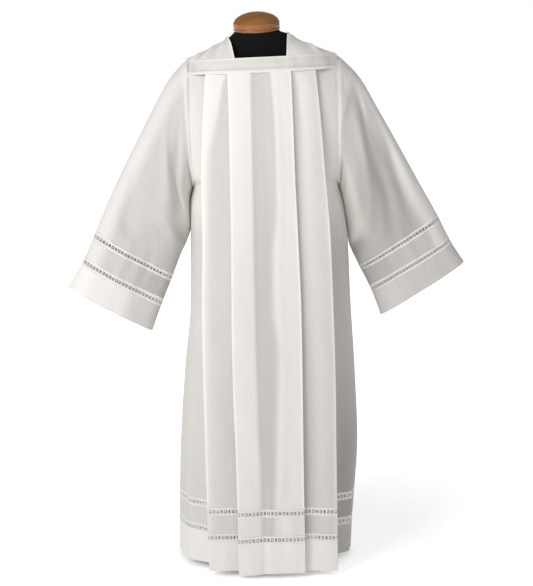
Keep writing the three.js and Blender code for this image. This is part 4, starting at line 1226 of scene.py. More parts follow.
def shell_of_rings(name, rings):
    """A closed, smooth body through rings of points, in millimetres, with a UV in metres."""
    rows, columns = rings.shape[:2]
    points = np.concatenate([rings.reshape(-1, 3), rings[:1].mean(axis=1), rings[-1:].mean(axis=1)])
    faces = []
    for r in range(rows - 1):
        for c in range(columns):
            d = (c + 1) % columns
            faces.append((r * columns + c, r * columns + d, (r + 1) * columns + d, (r + 1) * columns + c))
    for centre, r in ((rows * columns, 0), (rows * columns + 1, rows - 1)):
        for c in range(columns):
            faces.append((centre, r * columns + (c + 1) % columns, r * columns + c))
    mesh = bpy.data.meshes.new(name)
    mesh.from_pydata((points * MM).tolist(), [], faces)
    solid = bmesh.new()
    solid.from_mesh(mesh)
    bmesh.ops.remove_doubles(solid, verts=solid.verts, dist=1e-6)
    bmesh.ops.recalc_face_normals(solid, faces=solid.faces)
    layer = solid.loops.layers.uv.new("cloth")
    around = np.linalg.norm(np.diff(rings[rows // 2], axis=0, append=rings[rows // 2][:1]), axis=1).sum()
    for face in solid.faces:
        angles = [math.atan2(loop.vert.co.y, loop.vert.co.x) for loop in face.loops]
        middle = angles[0]
        for loop, angle in zip(face.loops, angles):
            turn = angle - 2 * math.pi * round((angle - middle) / (2 * math.pi))
            loop[layer].uv = (turn / (2 * math.pi) * around * MM, loop.vert.co.z)
    solid.to_mesh(mesh)
    solid.free()
    mesh.shade_smooth()
    mesh.set_sharp_from_angle(angle=math.radians(FORM_SHARP))
    thing = bpy.data.objects.new(name, mesh)
    bpy.context.scene.collection.objects.link(thing)
    return thing


def lathe(profile, columns):
    """Rings of a turned shape about Z from (radius, height) pairs."""
    angle = np.arange(columns) / columns * 2 * math.pi
    radius, height = np.array(profile, float).T[:, :, None]
    return np.stack([radius * np.cos(angle), radius * np.sin(angle), height * np.ones(columns)], axis=-1)


FORM_SQUARENESS = 2.1
FORM_COLUMNS = 112
FORM_ROWS = 110
FORM_FOOT_ROWS = (802, 806)  # heights of the rows that round the torso's lower edge
FORM_FOOT_INSET = 4
FORM_FOOT_HEIGHT = 10


def torso_rings():
    """The torso of the form, rounded in at its lower edge."""
    rows = np.linspace(FORM[0][0], FORM[-1][0], FORM_ROWS)
    heights = np.unique(np.concatenate([rows, FORM_FOOT_ROWS]))
    x, wide, front, back, fall = smooth_table(FORM, heights).T
    angle = np.arange(FORM_COLUMNS) / FORM_COLUMNS * 2 * math.pi
    across = squared(np.cos(angle), FORM_SQUARENESS)[None, :]
    deep = squared(np.sin(angle), FORM_SQUARENESS)[None, :]
    inset = FORM_FOOT_INSET * (1 - ease(heights, FORM[0][0], FORM[0][0] + FORM_FOOT_HEIGHT))[:, None]
    y = deep * np.where(deep < 0, front[:, None] - inset, back[:, None] - inset)
    place = leaned(x[:, None] + (wide[:, None] - inset) * across, y, heights[:, None] * np.ones(y.shape))
    place[..., 2] += fall[:, None] * y
    return place


CAP_RADIUS = 62.6
CAP_SIDE = 21  # height of its straight side
CAP_DOME = 28  # height of the dome above that
CAP_EDGE = 2  # rounding of the lower edge
CAP_FULLNESS = 0.62
CAP_RIM = 3.0  # rounding where the side turns into the dome
CAP_GROOVE = 8  # height of the turned groove
CAP_PLACE = (-14, 0, 1479.656)
CAP_PITCH = 0.14  # how far it leans forward
CENTRE = 0.4  # radius of the innermost ring of a turned shape


def cap_rings():
    """The wooden cap: straight side with a groove, rounded rim and a low dome."""
    profile = [(CENTRE, 0), (20, 0), (40, 0), (CAP_RADIUS - CAP_EDGE, 0)]
    for k in range(1, 6):
        turn = k / 5 * math.pi / 2
        profile.append(
            (CAP_RADIUS - CAP_EDGE + CAP_EDGE * math.sin(turn), CAP_EDGE * (1 - math.cos(turn)))
        )
    for height in (4, 6.4, CAP_GROOVE - 0.8, CAP_GROOVE, CAP_GROOVE + 0.8, 9.6, 12, 16, CAP_SIDE):
        near = abs(height - CAP_GROOVE)
        profile.append((CAP_RADIUS - (0.9 if near < 0.1 else 0.35 if near < 1 else 0), height))
    for turn in np.linspace(0, 1.1, 6)[1:]:
        profile.append((CAP_RADIUS - CAP_RIM * (1 - math.cos(turn)), CAP_SIDE + CAP_RIM * math.sin(turn)))
    rim, foot = profile[-1]
    for share in np.linspace(1, 0, 26)[1:]:
        rise = (CAP_SIDE + CAP_DOME - foot) * (1 - share**2) ** CAP_FULLNESS
        profile.append((max(CENTRE, rim * share), foot + rise))
    rings = lathe(profile, 96)
    place = (
        Matrix.Translation(CAP_PLACE)
        @ Matrix.Rotation(-math.atan(LEAN), 4, "Y")
        @ Matrix.Rotation(math.atan(CAP_PITCH), 4, "X")
    )
    return rings @ np.array(place.to_3x3()).T + np.array(place.translation)


BASE_THICK = 10


def pole_rings():
    """The pole between the base and the torso, its ends rounded."""
    radius, edge, bevel = 16, 1.2, 0.35
    low, high = BASE_THICK + SEAM, FORM[0][0] - SEAM
    profile = [(CENTRE, low), (radius - edge, low), (radius - bevel, low + bevel), (radius, low + edge)]
    profile += [(radius, z) for z in np.linspace(low + 8, high - 8, 24)]
    profile += [(radius, high - edge), (radius - bevel, high - bevel), (radius - edge, high), (CENTRE, high)]
    return lathe(profile, 48)


def base_rings():
    """The round base plate, its upper edge rounded."""
    radius, thick, edge = 150, BASE_THICK, 3
    profile = [(CENTRE, 0), (60, 0), (radius - 1, 0), (radius, 1), (radius, thick - edge)]
    for k in range(1, 7):
        turn = k / 6 * math.pi / 2
        profile.append((radius - edge * (1 - math.cos(turn)), thick - edge * (1 - math.sin(turn))))
    profile += [(110, thick), (60, thick), (24, thick), (CENTRE, thick)]
    return lathe(profile, 128)


# ---- sizes and colours ----

class AlbSizes(bpy.types.PropertyGroup):
    """Sizes of the cloth, its lace and its stitches."""

    cloth: FloatProperty(
        name="Cloth wall", description="Thickness of the cotton", default=0.001,
        min=0.0005, max=0.003, precision=4, unit="LENGTH",
    )
    yoke: FloatProperty(
        name="Yoke wall", description="Thickness of the doubled yoke band", default=0.0016,
        min=0.0008, max=0.003, precision=4, unit="LENGTH",
    )
    tape: FloatProperty(
        name="Tape wall", description="Thickness of the tapes that edge the lace", default=0.0014,
        min=0.0006, max=0.003, precision=4, unit="LENGTH",
    )
    tape_width: FloatProperty(
        name="Tape width", description="Width of each tape that edges the lace", default=0.0058,
        min=0.002, max=0.008, precision=4, unit="LENGTH",
    )
    row_spacing: FloatProperty(
        name="Row spacing", description="Distance down the cloth between its rows of points",
        default=0.009, min=0.004, max=0.03, precision=4, unit="LENGTH",
    )
    lace_period: FloatProperty(
        name="Lace period", description="Length of one repeat of the lace", default=0.0205,
        min=0.008, max=0.04, precision=4, unit="LENGTH",
    )
    stitch_pitch: FloatProperty(
        name="Stitch pitch", description="Distance from one stitch to the next", default=0.004,
        min=0.002, max=0.01, precision=4, unit="LENGTH",
    )
    weave: FloatProperty(
        name="Weave pitch", description="Distance between two threads of the cotton",
        default=0.0007, min=0.0003, max=0.002, precision=5, unit="LENGTH",
    )
    knit: FloatProperty(
        name="Knit pitch", description="Width of one stitch of the form's jersey",
        default=0.0016, min=0.0008, max=0.004, precision=5, unit="LENGTH",
    )
    floor: FloatProperty(
        name="Floor", description="Side of the floor", default=60.0, min=4.0, max=200.0, unit="LENGTH",
    )


def colour(name, description, default):
    return FloatVectorProperty(
        name=name, description=description, default=default, subtype="COLOR", size=3, min=0, max=1
    )


class AlbColours(bpy.types.PropertyGroup):
    """Colours of the alb, the form and the stage."""

    cotton: colour("Cotton", "Cotton where several layers lie together", (0.845, 0.822, 0.782))
    # the whiter colour that tones below 0 mix towards: a folded edge's layered cloth and painted highlights;
    # it is also the sewing thread's colour
    cotton_edge: colour("Cotton edge", "Cotton along a folded edge", (0.932, 0.916, 0.884))
    cotton_single: colour("Single cotton", "One layer of cotton over the dark form", (0.622, 0.602, 0.572))
    lace: colour("Lace", "Tapes and openwork", (0.77, 0.755, 0.72))
    jersey: colour("Jersey", "Black jersey of the form", (0.0035, 0.0035, 0.0037))
    wood_light: colour("Light wood", "Early wood of the neck cap", (0.43, 0.15, 0.010))
    wood_dark: colour("Dark wood", "Late wood of the neck cap", (0.22, 0.06, 0.004))
    # a darker colour for the cap's top above its rim
    wood_top: colour("Wood on top", "Cross-cut wood of the cap's top", (0.26, 0.095, 0.003))
    steel: colour("Painted steel", "Paint of the pole and the base", (0.022, 0.022, 0.024))
    floor: colour("Floor", "Pale floor", (0.90, 0.90, 0.90))


class AlbLights(bpy.types.PropertyGroup):
    """Strengths of the studio's lights."""

    key: FloatProperty(
        name="Key", description="Power of the large soft light", default=112, min=0, unit="POWER"
    )
    overhead: FloatProperty(
        name="Overhead", description="Power of the weak light above", default=8, min=0, unit="POWER"
    )
    ambient: FloatProperty(
        name="Ambient", description="Strength of the light from all round", default=0.25, min=0
    )


# ---- shared node groups ----

def start_group(name, inputs, outputs):
    """A new node group with its sockets, and its two end nodes."""
    tree = bpy.data.node_groups.new(name, "ShaderNodeTree")
    for key, kind, default in inputs:
        socket = tree.interface.new_socket(key, in_out="INPUT", socket_type=kind)
        if default is not None:
            socket.default_value = default
    for key, kind in outputs:
        tree.interface.new_socket(key, in_out="OUTPUT", socket_type=kind)
    return tree, tree.nodes.new("NodeGroupInput"), tree.nodes.new("NodeGroupOutput")


def weave_group():
    """Threads over and under each other: the height of the cloth and how hollow it is."""
    name = "plain weave"
    if name in bpy.data.node_groups:
        return bpy.data.node_groups[name]
    tree, given, result = start_group(
        name,
        (("Vector", "NodeSocketVector", None), ("Pitch", "NodeSocketFloat", 0.0007)),
        (("Height", "NodeSocketFloat"), ("Hollow", "NodeSocketFloat")),
    )
    split = wire(tree, "ShaderNodeSeparateXYZ", {0: given.outputs["Vector"]})
    per = sum_of(tree, "DIVIDE", math.pi, given.outputs["Pitch"])
    waves = [sum_of(tree, "SINE", sum_of(tree, "MULTIPLY", split.outputs[k], per)) for k in (0, 1)]
    over = sum_of(tree, "MULTIPLY", *waves)
    height = sum_of(tree, "MULTIPLY_ADD", over, 0.5, 0.5)
    edge = sum_of(tree, "SUBTRACT", 1.0, sum_of(tree, "ABSOLUTE", over))
    tree.links.new(height, result.inputs["Height"])
    tree.links.new(sum_of(tree, "POWER", edge, 4.0), result.inputs["Hollow"])
    return tree


def slub_group():
    """Uneven thickness of the threads: long faint streaks both ways."""
    name = "slubs"
    if name in bpy.data.node_groups:
        return bpy.data.node_groups[name]
    tree, given, result = start_group(
        name,
        (("Vector", "NodeSocketVector", None), ("Scale", "NodeSocketFloat", 900.0)),
        (("Streaks", "NodeSocketFloat"),),
    )
    streaks = []
    for stretch in ((1.0, 0.05, 1.0), (0.05, 1.0, 1.0)):
        scaled = wire(
            tree, "ShaderNodeVectorMath", {0: given.outputs["Vector"], 1: stretch}, operation="MULTIPLY"
        )
        streaks.append(noise(tree, scaled.outputs[0], given.outputs["Scale"], 2.0))
    mean = sum_of(tree, "MULTIPLY", sum_of(tree, "ADD", *streaks), 0.5)
    tree.links.new(mean, result.inputs["Streaks"])
    return tree


def rumple_group():
    """Small soft wrinkles of a washed and pressed cloth."""
    name = "rumples"
    if name in bpy.data.node_groups:
        return bpy.data.node_groups[name]
    tree, given, result = start_group(
        name,
        (("Vector", "NodeSocketVector", None), ("Scale", "NodeSocketFloat", 26.0)),
        (("Height", "NodeSocketFloat"),),
    )
    stretched = wire(
        tree, "ShaderNodeVectorMath", {0: given.outputs["Vector"], 1: (1.0, 1.0, 0.45)},
        operation="MULTIPLY",
    )
    lumps = noise(
        tree, stretched.outputs[0], given.outputs["Scale"], 3.0, Roughness=0.5, Distortion=0.6
    )
    fold = sum_of(tree, "ABSOLUTE", sum_of(tree, "SUBTRACT", lumps, 0.5))
    tree.links.new(sum_of(tree, "SUBTRACT", 0.5, fold), result.inputs["Height"])
    return tree


# ---- materials ----

def start_material(name):
    """A new material, its tree and its shader."""
    material = bpy.data.materials.new(name)
    material.use_nodes = True
    tree = material.node_tree
    return material, tree, tree.nodes["Principled BSDF"]


def grouped(tree, group, inputs):
    """A shared node group placed in a material with values of its own."""
    return wire(tree, "ShaderNodeGroup", inputs, node_tree=group)


def mixed_colour(tree, factor, first, second, blend="MIX"):
    """Two colours mixed by a factor, each of the three a socket or plain."""
    first, second = (
        colour if isinstance(colour, bpy.types.NodeSocket) else (*colour[:3], 1.0)
        for colour in (first, second)
    )
    inputs = {0: factor, 6: first, 7: second}
    return wire(tree, "ShaderNodeMix", inputs, data_type="RGBA", blend_type=blend).outputs[2]


def own_place(tree):
    return wire(tree, "ShaderNodeTexCoord").outputs["Object"]


def noise(tree, place, scale, detail, **more):
    inputs = {"Vector": place, "Scale": scale, "Detail": detail, **more}
    return wire(tree, "ShaderNodeTexNoise", inputs).outputs[0]


def grey(tree, value):
    return wire(tree, "ShaderNodeCombineColor", {0: value, 1: value, 2: value}).outputs[0]


def ranged(tree, value, low, high, to_low, to_high):
    """A value carried from one range to another and held inside it."""
    inputs = {0: value, 1: low, 2: high, 3: to_low, 4: to_high}
    return wire(tree, "ShaderNodeMapRange", inputs).outputs[0]


def bumped(tree, shader, layers):
    """Bumps laid over each other: (height, strength, distance)."""
    normal = None
    for height, strength, distance in layers:
        node = wire(tree, "ShaderNodeBump", {"Height": height, "Strength": strength, "Distance": distance})
        if normal:
            tree.links.new(normal, node.inputs["Normal"])
        normal = node.outputs[0]
    tree.links.new(normal, shader.inputs["Normal"])


def cotton_material():
    """Plain white cotton, mixed by the cloth's sheerness and by painted light: its attribute is 0 for layers
    that lie together, 1 for a single one over the dark form and -1 for a folded edge; above 1 it is painted
    shade, and below 0 it paints the cloth whiter, for layered cloth and as painted light."""
    if "woven_cotton" in bpy.data.materials:
        return bpy.data.materials["woven_cotton"]
    alb = bpy.context.scene.alb
    sizes, colours = alb.sizes, alb.colours
    # painted shade: tones past a single layer, up to 2, mix on towards this darker colour
    twice_single = tuple(2 * b - a for a, b in zip(colours.cotton, colours.cotton_single))
    material, tree, shader = start_material("woven_cotton")
    flat = wire(tree, "ShaderNodeUVMap", uv_map="cloth").outputs[0]
    place = own_place(tree)
    sheer = wire(tree, "ShaderNodeAttribute", attribute_name="sheer").outputs["Fac"]
    weave = grouped(tree, weave_group(), {"Vector": flat, "Pitch": sizes.weave})
    slubs = grouped(tree, slub_group(), {"Vector": flat, "Scale": 700.0})
    rumples = grouped(tree, rumple_group(), {"Vector": place, "Scale": 24.0})
    puckers = grouped(tree, rumple_group(), {"Vector": place, "Scale": 62.0})
    tone = mixed_colour(tree, ranged(tree, sheer, 0, 2, 0, 1), colours.cotton, twice_single)
    # layered cloth and painted light: tones below 0 mix towards the edge colour
    tone = mixed_colour(tree, ranged(tree, sheer, -1, 0, 1, 0), tone, colours.cotton_edge)
    streaks = ranged(tree, slubs.outputs["Streaks"], 0.3, 0.7, 0.97, 1.015)
    hollows = ranged(tree, weave.outputs["Hollow"], 0, 1, 1, 0.93)
    shade = grey(tree, sum_of(tree, "MULTIPLY", streaks, hollows))
    feed(tree, shader, {
        "Base Color": mixed_colour(tree, 1.0, tone, shade, "MULTIPLY"),
        "Roughness": ranged(tree, weave.outputs["Height"], 0, 1, 0.92, 0.8),
        "Sheen Weight": 0.12, "Specular IOR Level": 0.25,
    })
    bumped(tree, shader, (
        (rumples.outputs["Height"], 0.7, 0.0028), (puckers.outputs["Height"], 0.5, 0.0009),
        (weave.outputs["Height"], 0.35, 0.00018),
    ))
    return material


def thread_material(name, tint, twist, rough):
    """Lace and sewing thread: twisted yarn, seen on Object coordinates."""
    if name in bpy.data.materials:
        return bpy.data.materials[name]
    material, tree, shader = start_material(name)
    place = own_place(tree)
    slubs = grouped(tree, slub_group(), {"Vector": place, "Scale": 420.0})
    weave = grouped(tree, weave_group(), {"Vector": place, "Pitch": twist})
    shade = ranged(tree, slubs.outputs["Streaks"], 0.3, 0.7, 0.93, 1.0)
    feed(tree, shader, {
        "Base Color": mixed_colour(tree, 1.0, tint, grey(tree, shade), "MULTIPLY"),
        "Roughness": ranged(tree, weave.outputs["Height"], 0, 1, rough + 0.08, rough),
        "Specular IOR Level": 0.3,
    })
    bumped(tree, shader, ((weave.outputs["Height"], 0.4, 0.0002),))
    return material


def jersey_material():
    """Black knit: columns of slanting loops, with a little lint."""
    alb = bpy.context.scene.alb
    material, tree, shader = start_material("knitted_jersey")
    flat = wire(tree, "ShaderNodeUVMap", uv_map="cloth").outputs[0]
    place = own_place(tree)
    split = wire(tree, "ShaderNodeSeparateXYZ", {0: flat})
    per = math.pi / alb.sizes.knit
    column = sum_of(tree, "MULTIPLY", split.outputs[0], per)
    slant = sum_of(tree, "ABSOLUTE", sum_of(tree, "SINE", column))
    course = sum_of(tree, "MULTIPLY_ADD", slant, 1.6, sum_of(tree, "MULTIPLY", split.outputs[1], per * 1.5))
    loop = sum_of(tree, "MULTIPLY_ADD", sum_of(tree, "SINE", course), 0.5, 0.5)
    height = sum_of(tree, "MULTIPLY", loop, slant)
    lint = noise(tree, place, 60.0, 4.0)
    base = tuple(alb.colours.jersey)
    light = tuple(2.4 * v for v in base)
    tone = mixed_colour(tree, height, tuple(0.6 * v for v in base), light)
    tone = mixed_colour(tree, ranged(tree, lint, 0.45, 0.8, 0, 0.5), tone, light)
    feed(tree, shader, {
        "Base Color": tone, "Roughness": ranged(tree, lint, 0.3, 0.7, 0.88, 0.97),
        "Specular IOR Level": 0.2,
    })
    bumped(tree, shader, ((height, 0.5, 0.0004),))
    return material


def wood_material():
    """Turned and varnished wood: the grain runs across the cap, so the turning cuts it in
    long arcs."""
    colours = bpy.context.scene.alb.colours
    material, tree, shader = start_material("turned_wood")
    place = own_place(tree)
    centred = wire(
        tree, "ShaderNodeMapping",
        {"Vector": place, "Location": (0.014, 0.05, -1.46), "Rotation": (0.3, 0.12, 0.2)},
    ).outputs[0]
    long = wire(
        tree, "ShaderNodeVectorMath", {0: centred, 1: (0.16, 1.0, 1.0)}, operation="MULTIPLY"
    ).outputs[0]
    rings = wire(
        tree, "ShaderNodeTexWave",
        {"Vector": long, "Scale": 34.0, "Distortion": 3.2, "Detail": 3.0, "Detail Scale": 1.4},
        wave_type="BANDS", bands_direction="Z", wave_profile="SAW",
    ).outputs["Fac"]
    pores = noise(tree, long, 620.0, 2.0)
    cloud = noise(tree, centred, 17.0, 2.0)
    tone = mixed_colour(tree, ranged(tree, rings, 0, 1, 0.1, 0.9), colours.wood_light, colours.wood_dark)
    tone = mixed_colour(tree, ranged(tree, cloud, 0.35, 0.7, 0, 0.45), tone, colours.wood_dark)
    raised = wire(
        tree, "ShaderNodeVectorMath", {0: place, 1: tuple(v * MM for v in CAP_PLACE)}, operation="SUBTRACT"
    ).outputs[0]
    height = wire(
        tree, "ShaderNodeVectorMath", {0: raised, 1: (-LEAN, -CAP_PITCH, 1.0)}, operation="DOT_PRODUCT"
    ).outputs["Value"]
    # the cap's top, above its rim, is mixed towards a darker colour
    on_top = ranged(tree, height, CAP_SIDE * MM, (CAP_SIDE + CAP_RIM) * MM, 0, 0.55)
    tone = mixed_colour(tree, on_top, tone, colours.wood_top)
    tone = mixed_colour(tree, ranged(tree, pores, 0.56, 0.7, 0, 0.7), tone, (0.09, 0.032, 0.012))
    feed(tree, shader, {
        "Base Color": tone, "Roughness": ranged(tree, rings, 0, 1, 0.38, 0.5),
        "Coat Weight": 0.5, "Coat Roughness": 0.12,
    })
    bumped(tree, shader, ((pores, 0.12, 0.0003),))
    return material


def steel_material():
    """Black paint with a faint orange peel and dust."""
    colours = bpy.context.scene.alb.colours
    if "stand_paint" in bpy.data.materials:
        return bpy.data.materials["stand_paint"]
    material, tree, shader = start_material("stand_paint")
    place = own_place(tree)
    peel = noise(tree, place, 520.0, 2.0)
    dust = noise(tree, place, 22.0, 5.0)
    base = tuple(colours.steel)
    tone = mixed_colour(tree, ranged(tree, dust, 0.45, 0.75, 0, 0.35), base, tuple(3 * v for v in base))
    feed(tree, shader, {"Base Color": tone, "Roughness": ranged(tree, dust, 0.3, 0.7, 0.38, 0.55)})
    bumped(tree, shader, ((peel, 0.25, 0.0003),))
    return material


FLOOR_GLOW = 1.05  # lifts the floor to near white, as a lit studio floor is
FLOOR_GLOW_NEAR = (0.13, 0.26, 0.60)  # metres from the stand, and the share reached there
FLOOR_GLOW_FAR = (0.5, 2.2, 0.40)


def floor_material():
    """A pale floor that glows a little more with distance from the stand."""
    colours = bpy.context.scene.alb.colours
    material, tree, shader = start_material("pale_floor")
    place = own_place(tree)
    cloud = noise(tree, place, 1.4, 4.0)
    base = tuple(colours.floor)
    away = wire(tree, "ShaderNodeVectorMath", {0: place}, operation="LENGTH").outputs["Value"]
    glow = sum_of(
        tree, "ADD", ranged(tree, away, *FLOOR_GLOW_NEAR[:2], 0, FLOOR_GLOW_NEAR[2]),
        ranged(tree, away, *FLOOR_GLOW_FAR[:2], 0, FLOOR_GLOW_FAR[2]),
    )
    feed(tree, shader, {
        "Base Color": mixed_colour(tree, cloud, tuple(0.985 * v for v in base), base),
        "Roughness": 0.75, "Specular IOR Level": 0.2,
        "Emission Color": grey(tree, glow), "Emission Strength": FLOOR_GLOW,
    })
    return material


# ---- operators ----


SKIRT_ROWS = {
    "panel": (BAND_LOW - SEAM / 2, UPPER_LACE + LACE_HALF + SEAM / 2),
    "mid_band": (UPPER_LACE - LACE_HALF - SEAM / 2, LOWER_LACE + LACE_HALF + SEAM / 2),
    "hem_band": (LOWER_LACE - LACE_HALF - SEAM / 2, HEM),
}
SKIRT_LACES = {
    "upper_lace": (UPPER_LACE - LACE_HALF + SEAM / 2, UPPER_LACE + LACE_HALF - SEAM / 2),
    "lower_lace": (LOWER_LACE - LACE_HALF + SEAM / 2, LOWER_LACE + LACE_HALF - SEAM / 2),
}


# the sheerness of the doubled hem: at least, and the painted shade it takes where the cloth above it carries
# the most painted shade, on the far side
HEM_TONE = 0.22
HEM_PAINTED_SHADE = 1.3
HEM_PAINTED_SHADE_RANGE = (1.5, 1.8)
MID_BAND_TONE = 0.45  # the least that the band between the laces reads


class ALB_OT_skirt(bpy.types.Operator):
    """Build the pleated front and back panels and the bands below their lace"""

    bl_idname = "alb.skirt"
    bl_label = "Pleated Panels"

    def execute(self, context):
        sizes = context.scene.alb.sizes
        for name, panel in PANELS.items():
            for part, (top, bottom) in SKIRT_ROWS.items():
                heights = heights_between(top, bottom, sizes.row_spacing / MM)
                grid, sheer = panel_grid(panel, heights)
                if part == "hem_band":
                    # painted shade on the hem below the far side
                    sheer = np.minimum(sheer, 0) + HEM_TONE + HEM_PAINTED_SHADE * ease(sheer, *HEM_PAINTED_SHADE_RANGE)
                elif part == "mid_band":
                    sheer = np.maximum(sheer, MID_BAND_TONE)
                thing = wall(f"alb_{name}_{part}", grid, sizes.cloth / MM, sheer)
                finish_piece(thing, cotton_material(), "cotton", f"{name}_{part}")
        return {"FINISHED"}


SLEEVE_LACE = LACE_HALF - SEAM  # half the width of a sleeve's lace
LACE_TWIST = 0.0011  # pitch of the yarn's twist
LACE_ROUGHNESS = 0.75


class ALB_OT_lace(bpy.types.Operator):
    """Build the lace insertions of the panels and the sleeves"""

    bl_idname = "alb.lace"
    bl_label = "Lace Insertions"

    def execute(self, context):
        sizes, colours = context.scene.alb.sizes, context.scene.alb.colours
        material = thread_material("lace_yarn", colours.lace, LACE_TWIST, LACE_ROUGHNESS)
        for name, panel in PANELS.items():
            for part, (low, high) in SKIRT_LACES.items():
                thing = lace_strip(
                    f"alb_{name}_{part}", lambda z: panel_grid(panel, z)[0], low, high, sizes, material,
                    (0, panel["side"], 0),
                )
                finish_piece(thing, material, "lace", f"{name}_{part}")
        for side in SLEEVES:
            for part, middle in (("upper", CUFF_LACE_HIGH), ("lower", CUFF_LACE_LOW)):
                name = f"{side}_sleeve_{part}_lace"
                thing = lace_strip(
                    f"alb_{name}", lambda along: sleeve_grid(side, along), middle - SLEEVE_LACE,
                    middle + SLEEVE_LACE, sizes, material, ring=True,
                )
                finish_piece(thing, material, "lace", name)
        return {"FINISHED"}


# the parts of a sleeve: distances from the cuff of its top and its foot, rows of points
SLEEVE_ROWS = {
    "sleeve": (ARMHOLE, 172.3, 112),
    "sleeve_mid_band": (149.7, 96.3, 13),
    "cuff_band": (73.7, 0, 17),
}
# The sheerness of each part of a sleeve, with painted shade, most on the right sleeve, which lies away from
# the light: on its outer edge, in the middle, on its inner edge
SLEEVE_SHEER_AND_SHADE = {
    "left": {
        "sleeve": (0.45, 1.2, 1.5), "sleeve_mid_band": (0.4, 1.2, 1.7), "cuff_band": (0.0, 0.35, 1.2),
    },
    "right": {
        "sleeve": (0.6, 1.75, 1.5), "sleeve_mid_band": (0.7, 1.45, 1.6), "cuff_band": (1.2, 1.3, 0.9),
    },
}
# painted light: the sleeve's top by the armhole is painted lighter
SLEEVE_TOP_PAINTED_LIGHT = {"left": 0.1, "right": 0.22}  # the share of it lost by the armhole
# painted light: what it loses under the arm, where it is painted lighter: distances from the cuff where that
# begins, is whole, starts to end and ends, how much
UNDER_SLEEVE_PAINTED_LIGHT = {"left": (330, 450, 620, 660, 1.0), "right": (250, 380, 620, 660, 1.2)}
# the roll of the armhole seam is painted lighter, for its layered cloth and as a painted highlight
SEAM_LAYERS_AND_HIGHLIGHT = 0.7  # and the share lost on the roll of the armhole seam


def sleeve_sheer_and_painted_light(side, part, alongs, columns):
    """The sheerness and painted light of a part of a sleeve, at each of its rows and columns."""
    outer, middle, inner = SLEEVE_SHEER_AND_SHADE[side][part]
    share = (1 - np.cos(2 * math.pi * np.arange(columns) / columns))[None, :] / 2
    along = np.asarray(alongs, float)[:, None]
    start, whole, ending, end, lighter = UNDER_SLEEVE_PAINTED_LIGHT[side]
    under = ease(share, 0.72, 0.92) * ease(along, start, whole) * (1 - ease(along, ending, end))
    tone = outer + (middle - outer) * ease(share, 0.05, 0.2) + (inner - middle) * ease(share, 0.5, 0.95)
    seam = np.exp(-(((along - ARMHOLE + SEAM_ROLL_PLACE) / 6) ** 2))
    # painted light: lighter at the top by the armhole, under the arm and on the seam's roll
    tone = tone * (1 - SLEEVE_TOP_PAINTED_LIGHT[side] * ease(along, 430, 600))
    return (tone - lighter * under) * (1 - SEAM_LAYERS_AND_HIGHLIGHT * seam)


class ALB_OT_sleeves(bpy.types.Operator):
    """Build both bell sleeves"""

    bl_idname = "alb.sleeves"
    bl_label = "Sleeves"

    def execute(self, context):
        sizes = context.scene.alb.sizes
        for side in SLEEVES:
            for part, (high, low, rows) in SLEEVE_ROWS.items():
                grid = sleeve_grid(side, np.linspace(high, low, rows))
                sheer = sleeve_sheer_and_painted_light(side, part, np.linspace(high, low, rows), grid.shape[1])
                thing = wall(f"alb_{side}_{part}", grid, sizes.cloth / MM, sheer, ring=True)
                finish_piece(thing, cotton_material(), "cotton", f"{side}_{part}")
        return {"FINISHED"}


class ALB_OT_yoke(bpy.types.Operator):
    """Build the yoke bands and the shoulders"""

    bl_idname = "alb.yoke"
    bl_label = "Yoke and Shoulders"

    def execute(self, context):
        sizes = context.scene.alb.sizes
        for name in PANELS:
            grid, sheer = band_grid(name)
            thing = wall(f"alb_{name}_yoke_band", grid, sizes.yoke / MM, sheer + BAND_TONE)
            finish_piece(thing, cotton_material(), "cotton", f"{name}_yoke_band")
        for side in NECK:
            grid, sheer = shoulder_grid(side)
            thing = wall(f"alb_{side}_shoulder", grid, sizes.cloth / MM, sheer)
            finish_piece(thing, cotton_material(), "cotton", f"{side}_shoulder")
        return {"FINISHED"}


STITCH_LIFT = 0.75  # how far the middle of a stitch line lies off the cloth's own middle
BAND_STITCH_LIFT = 1.0
STITCH_TWIST = 0.0006
STITCH_ROUGHNESS = 0.55
STITCH_UNEVENNESS = 0.12
LACE_STITCH = 13  # from the middle of a lace to the stitches beside it
HEM_STITCH = HEM + 22
CUFF_STITCH = 12
NEAR = 3  # from a line to the cloth looked at above and below it
NECK_STITCH_COLUMN = 4
BAND_STITCH_ROW = 3  # counted from each edge of a band


def stitch_places(laces, last):
    """Where the stitches run: on both sides of each lace, then at the last place."""
    return [lace + way * LACE_STITCH for lace in laces for way in (1, -1)] + [last]


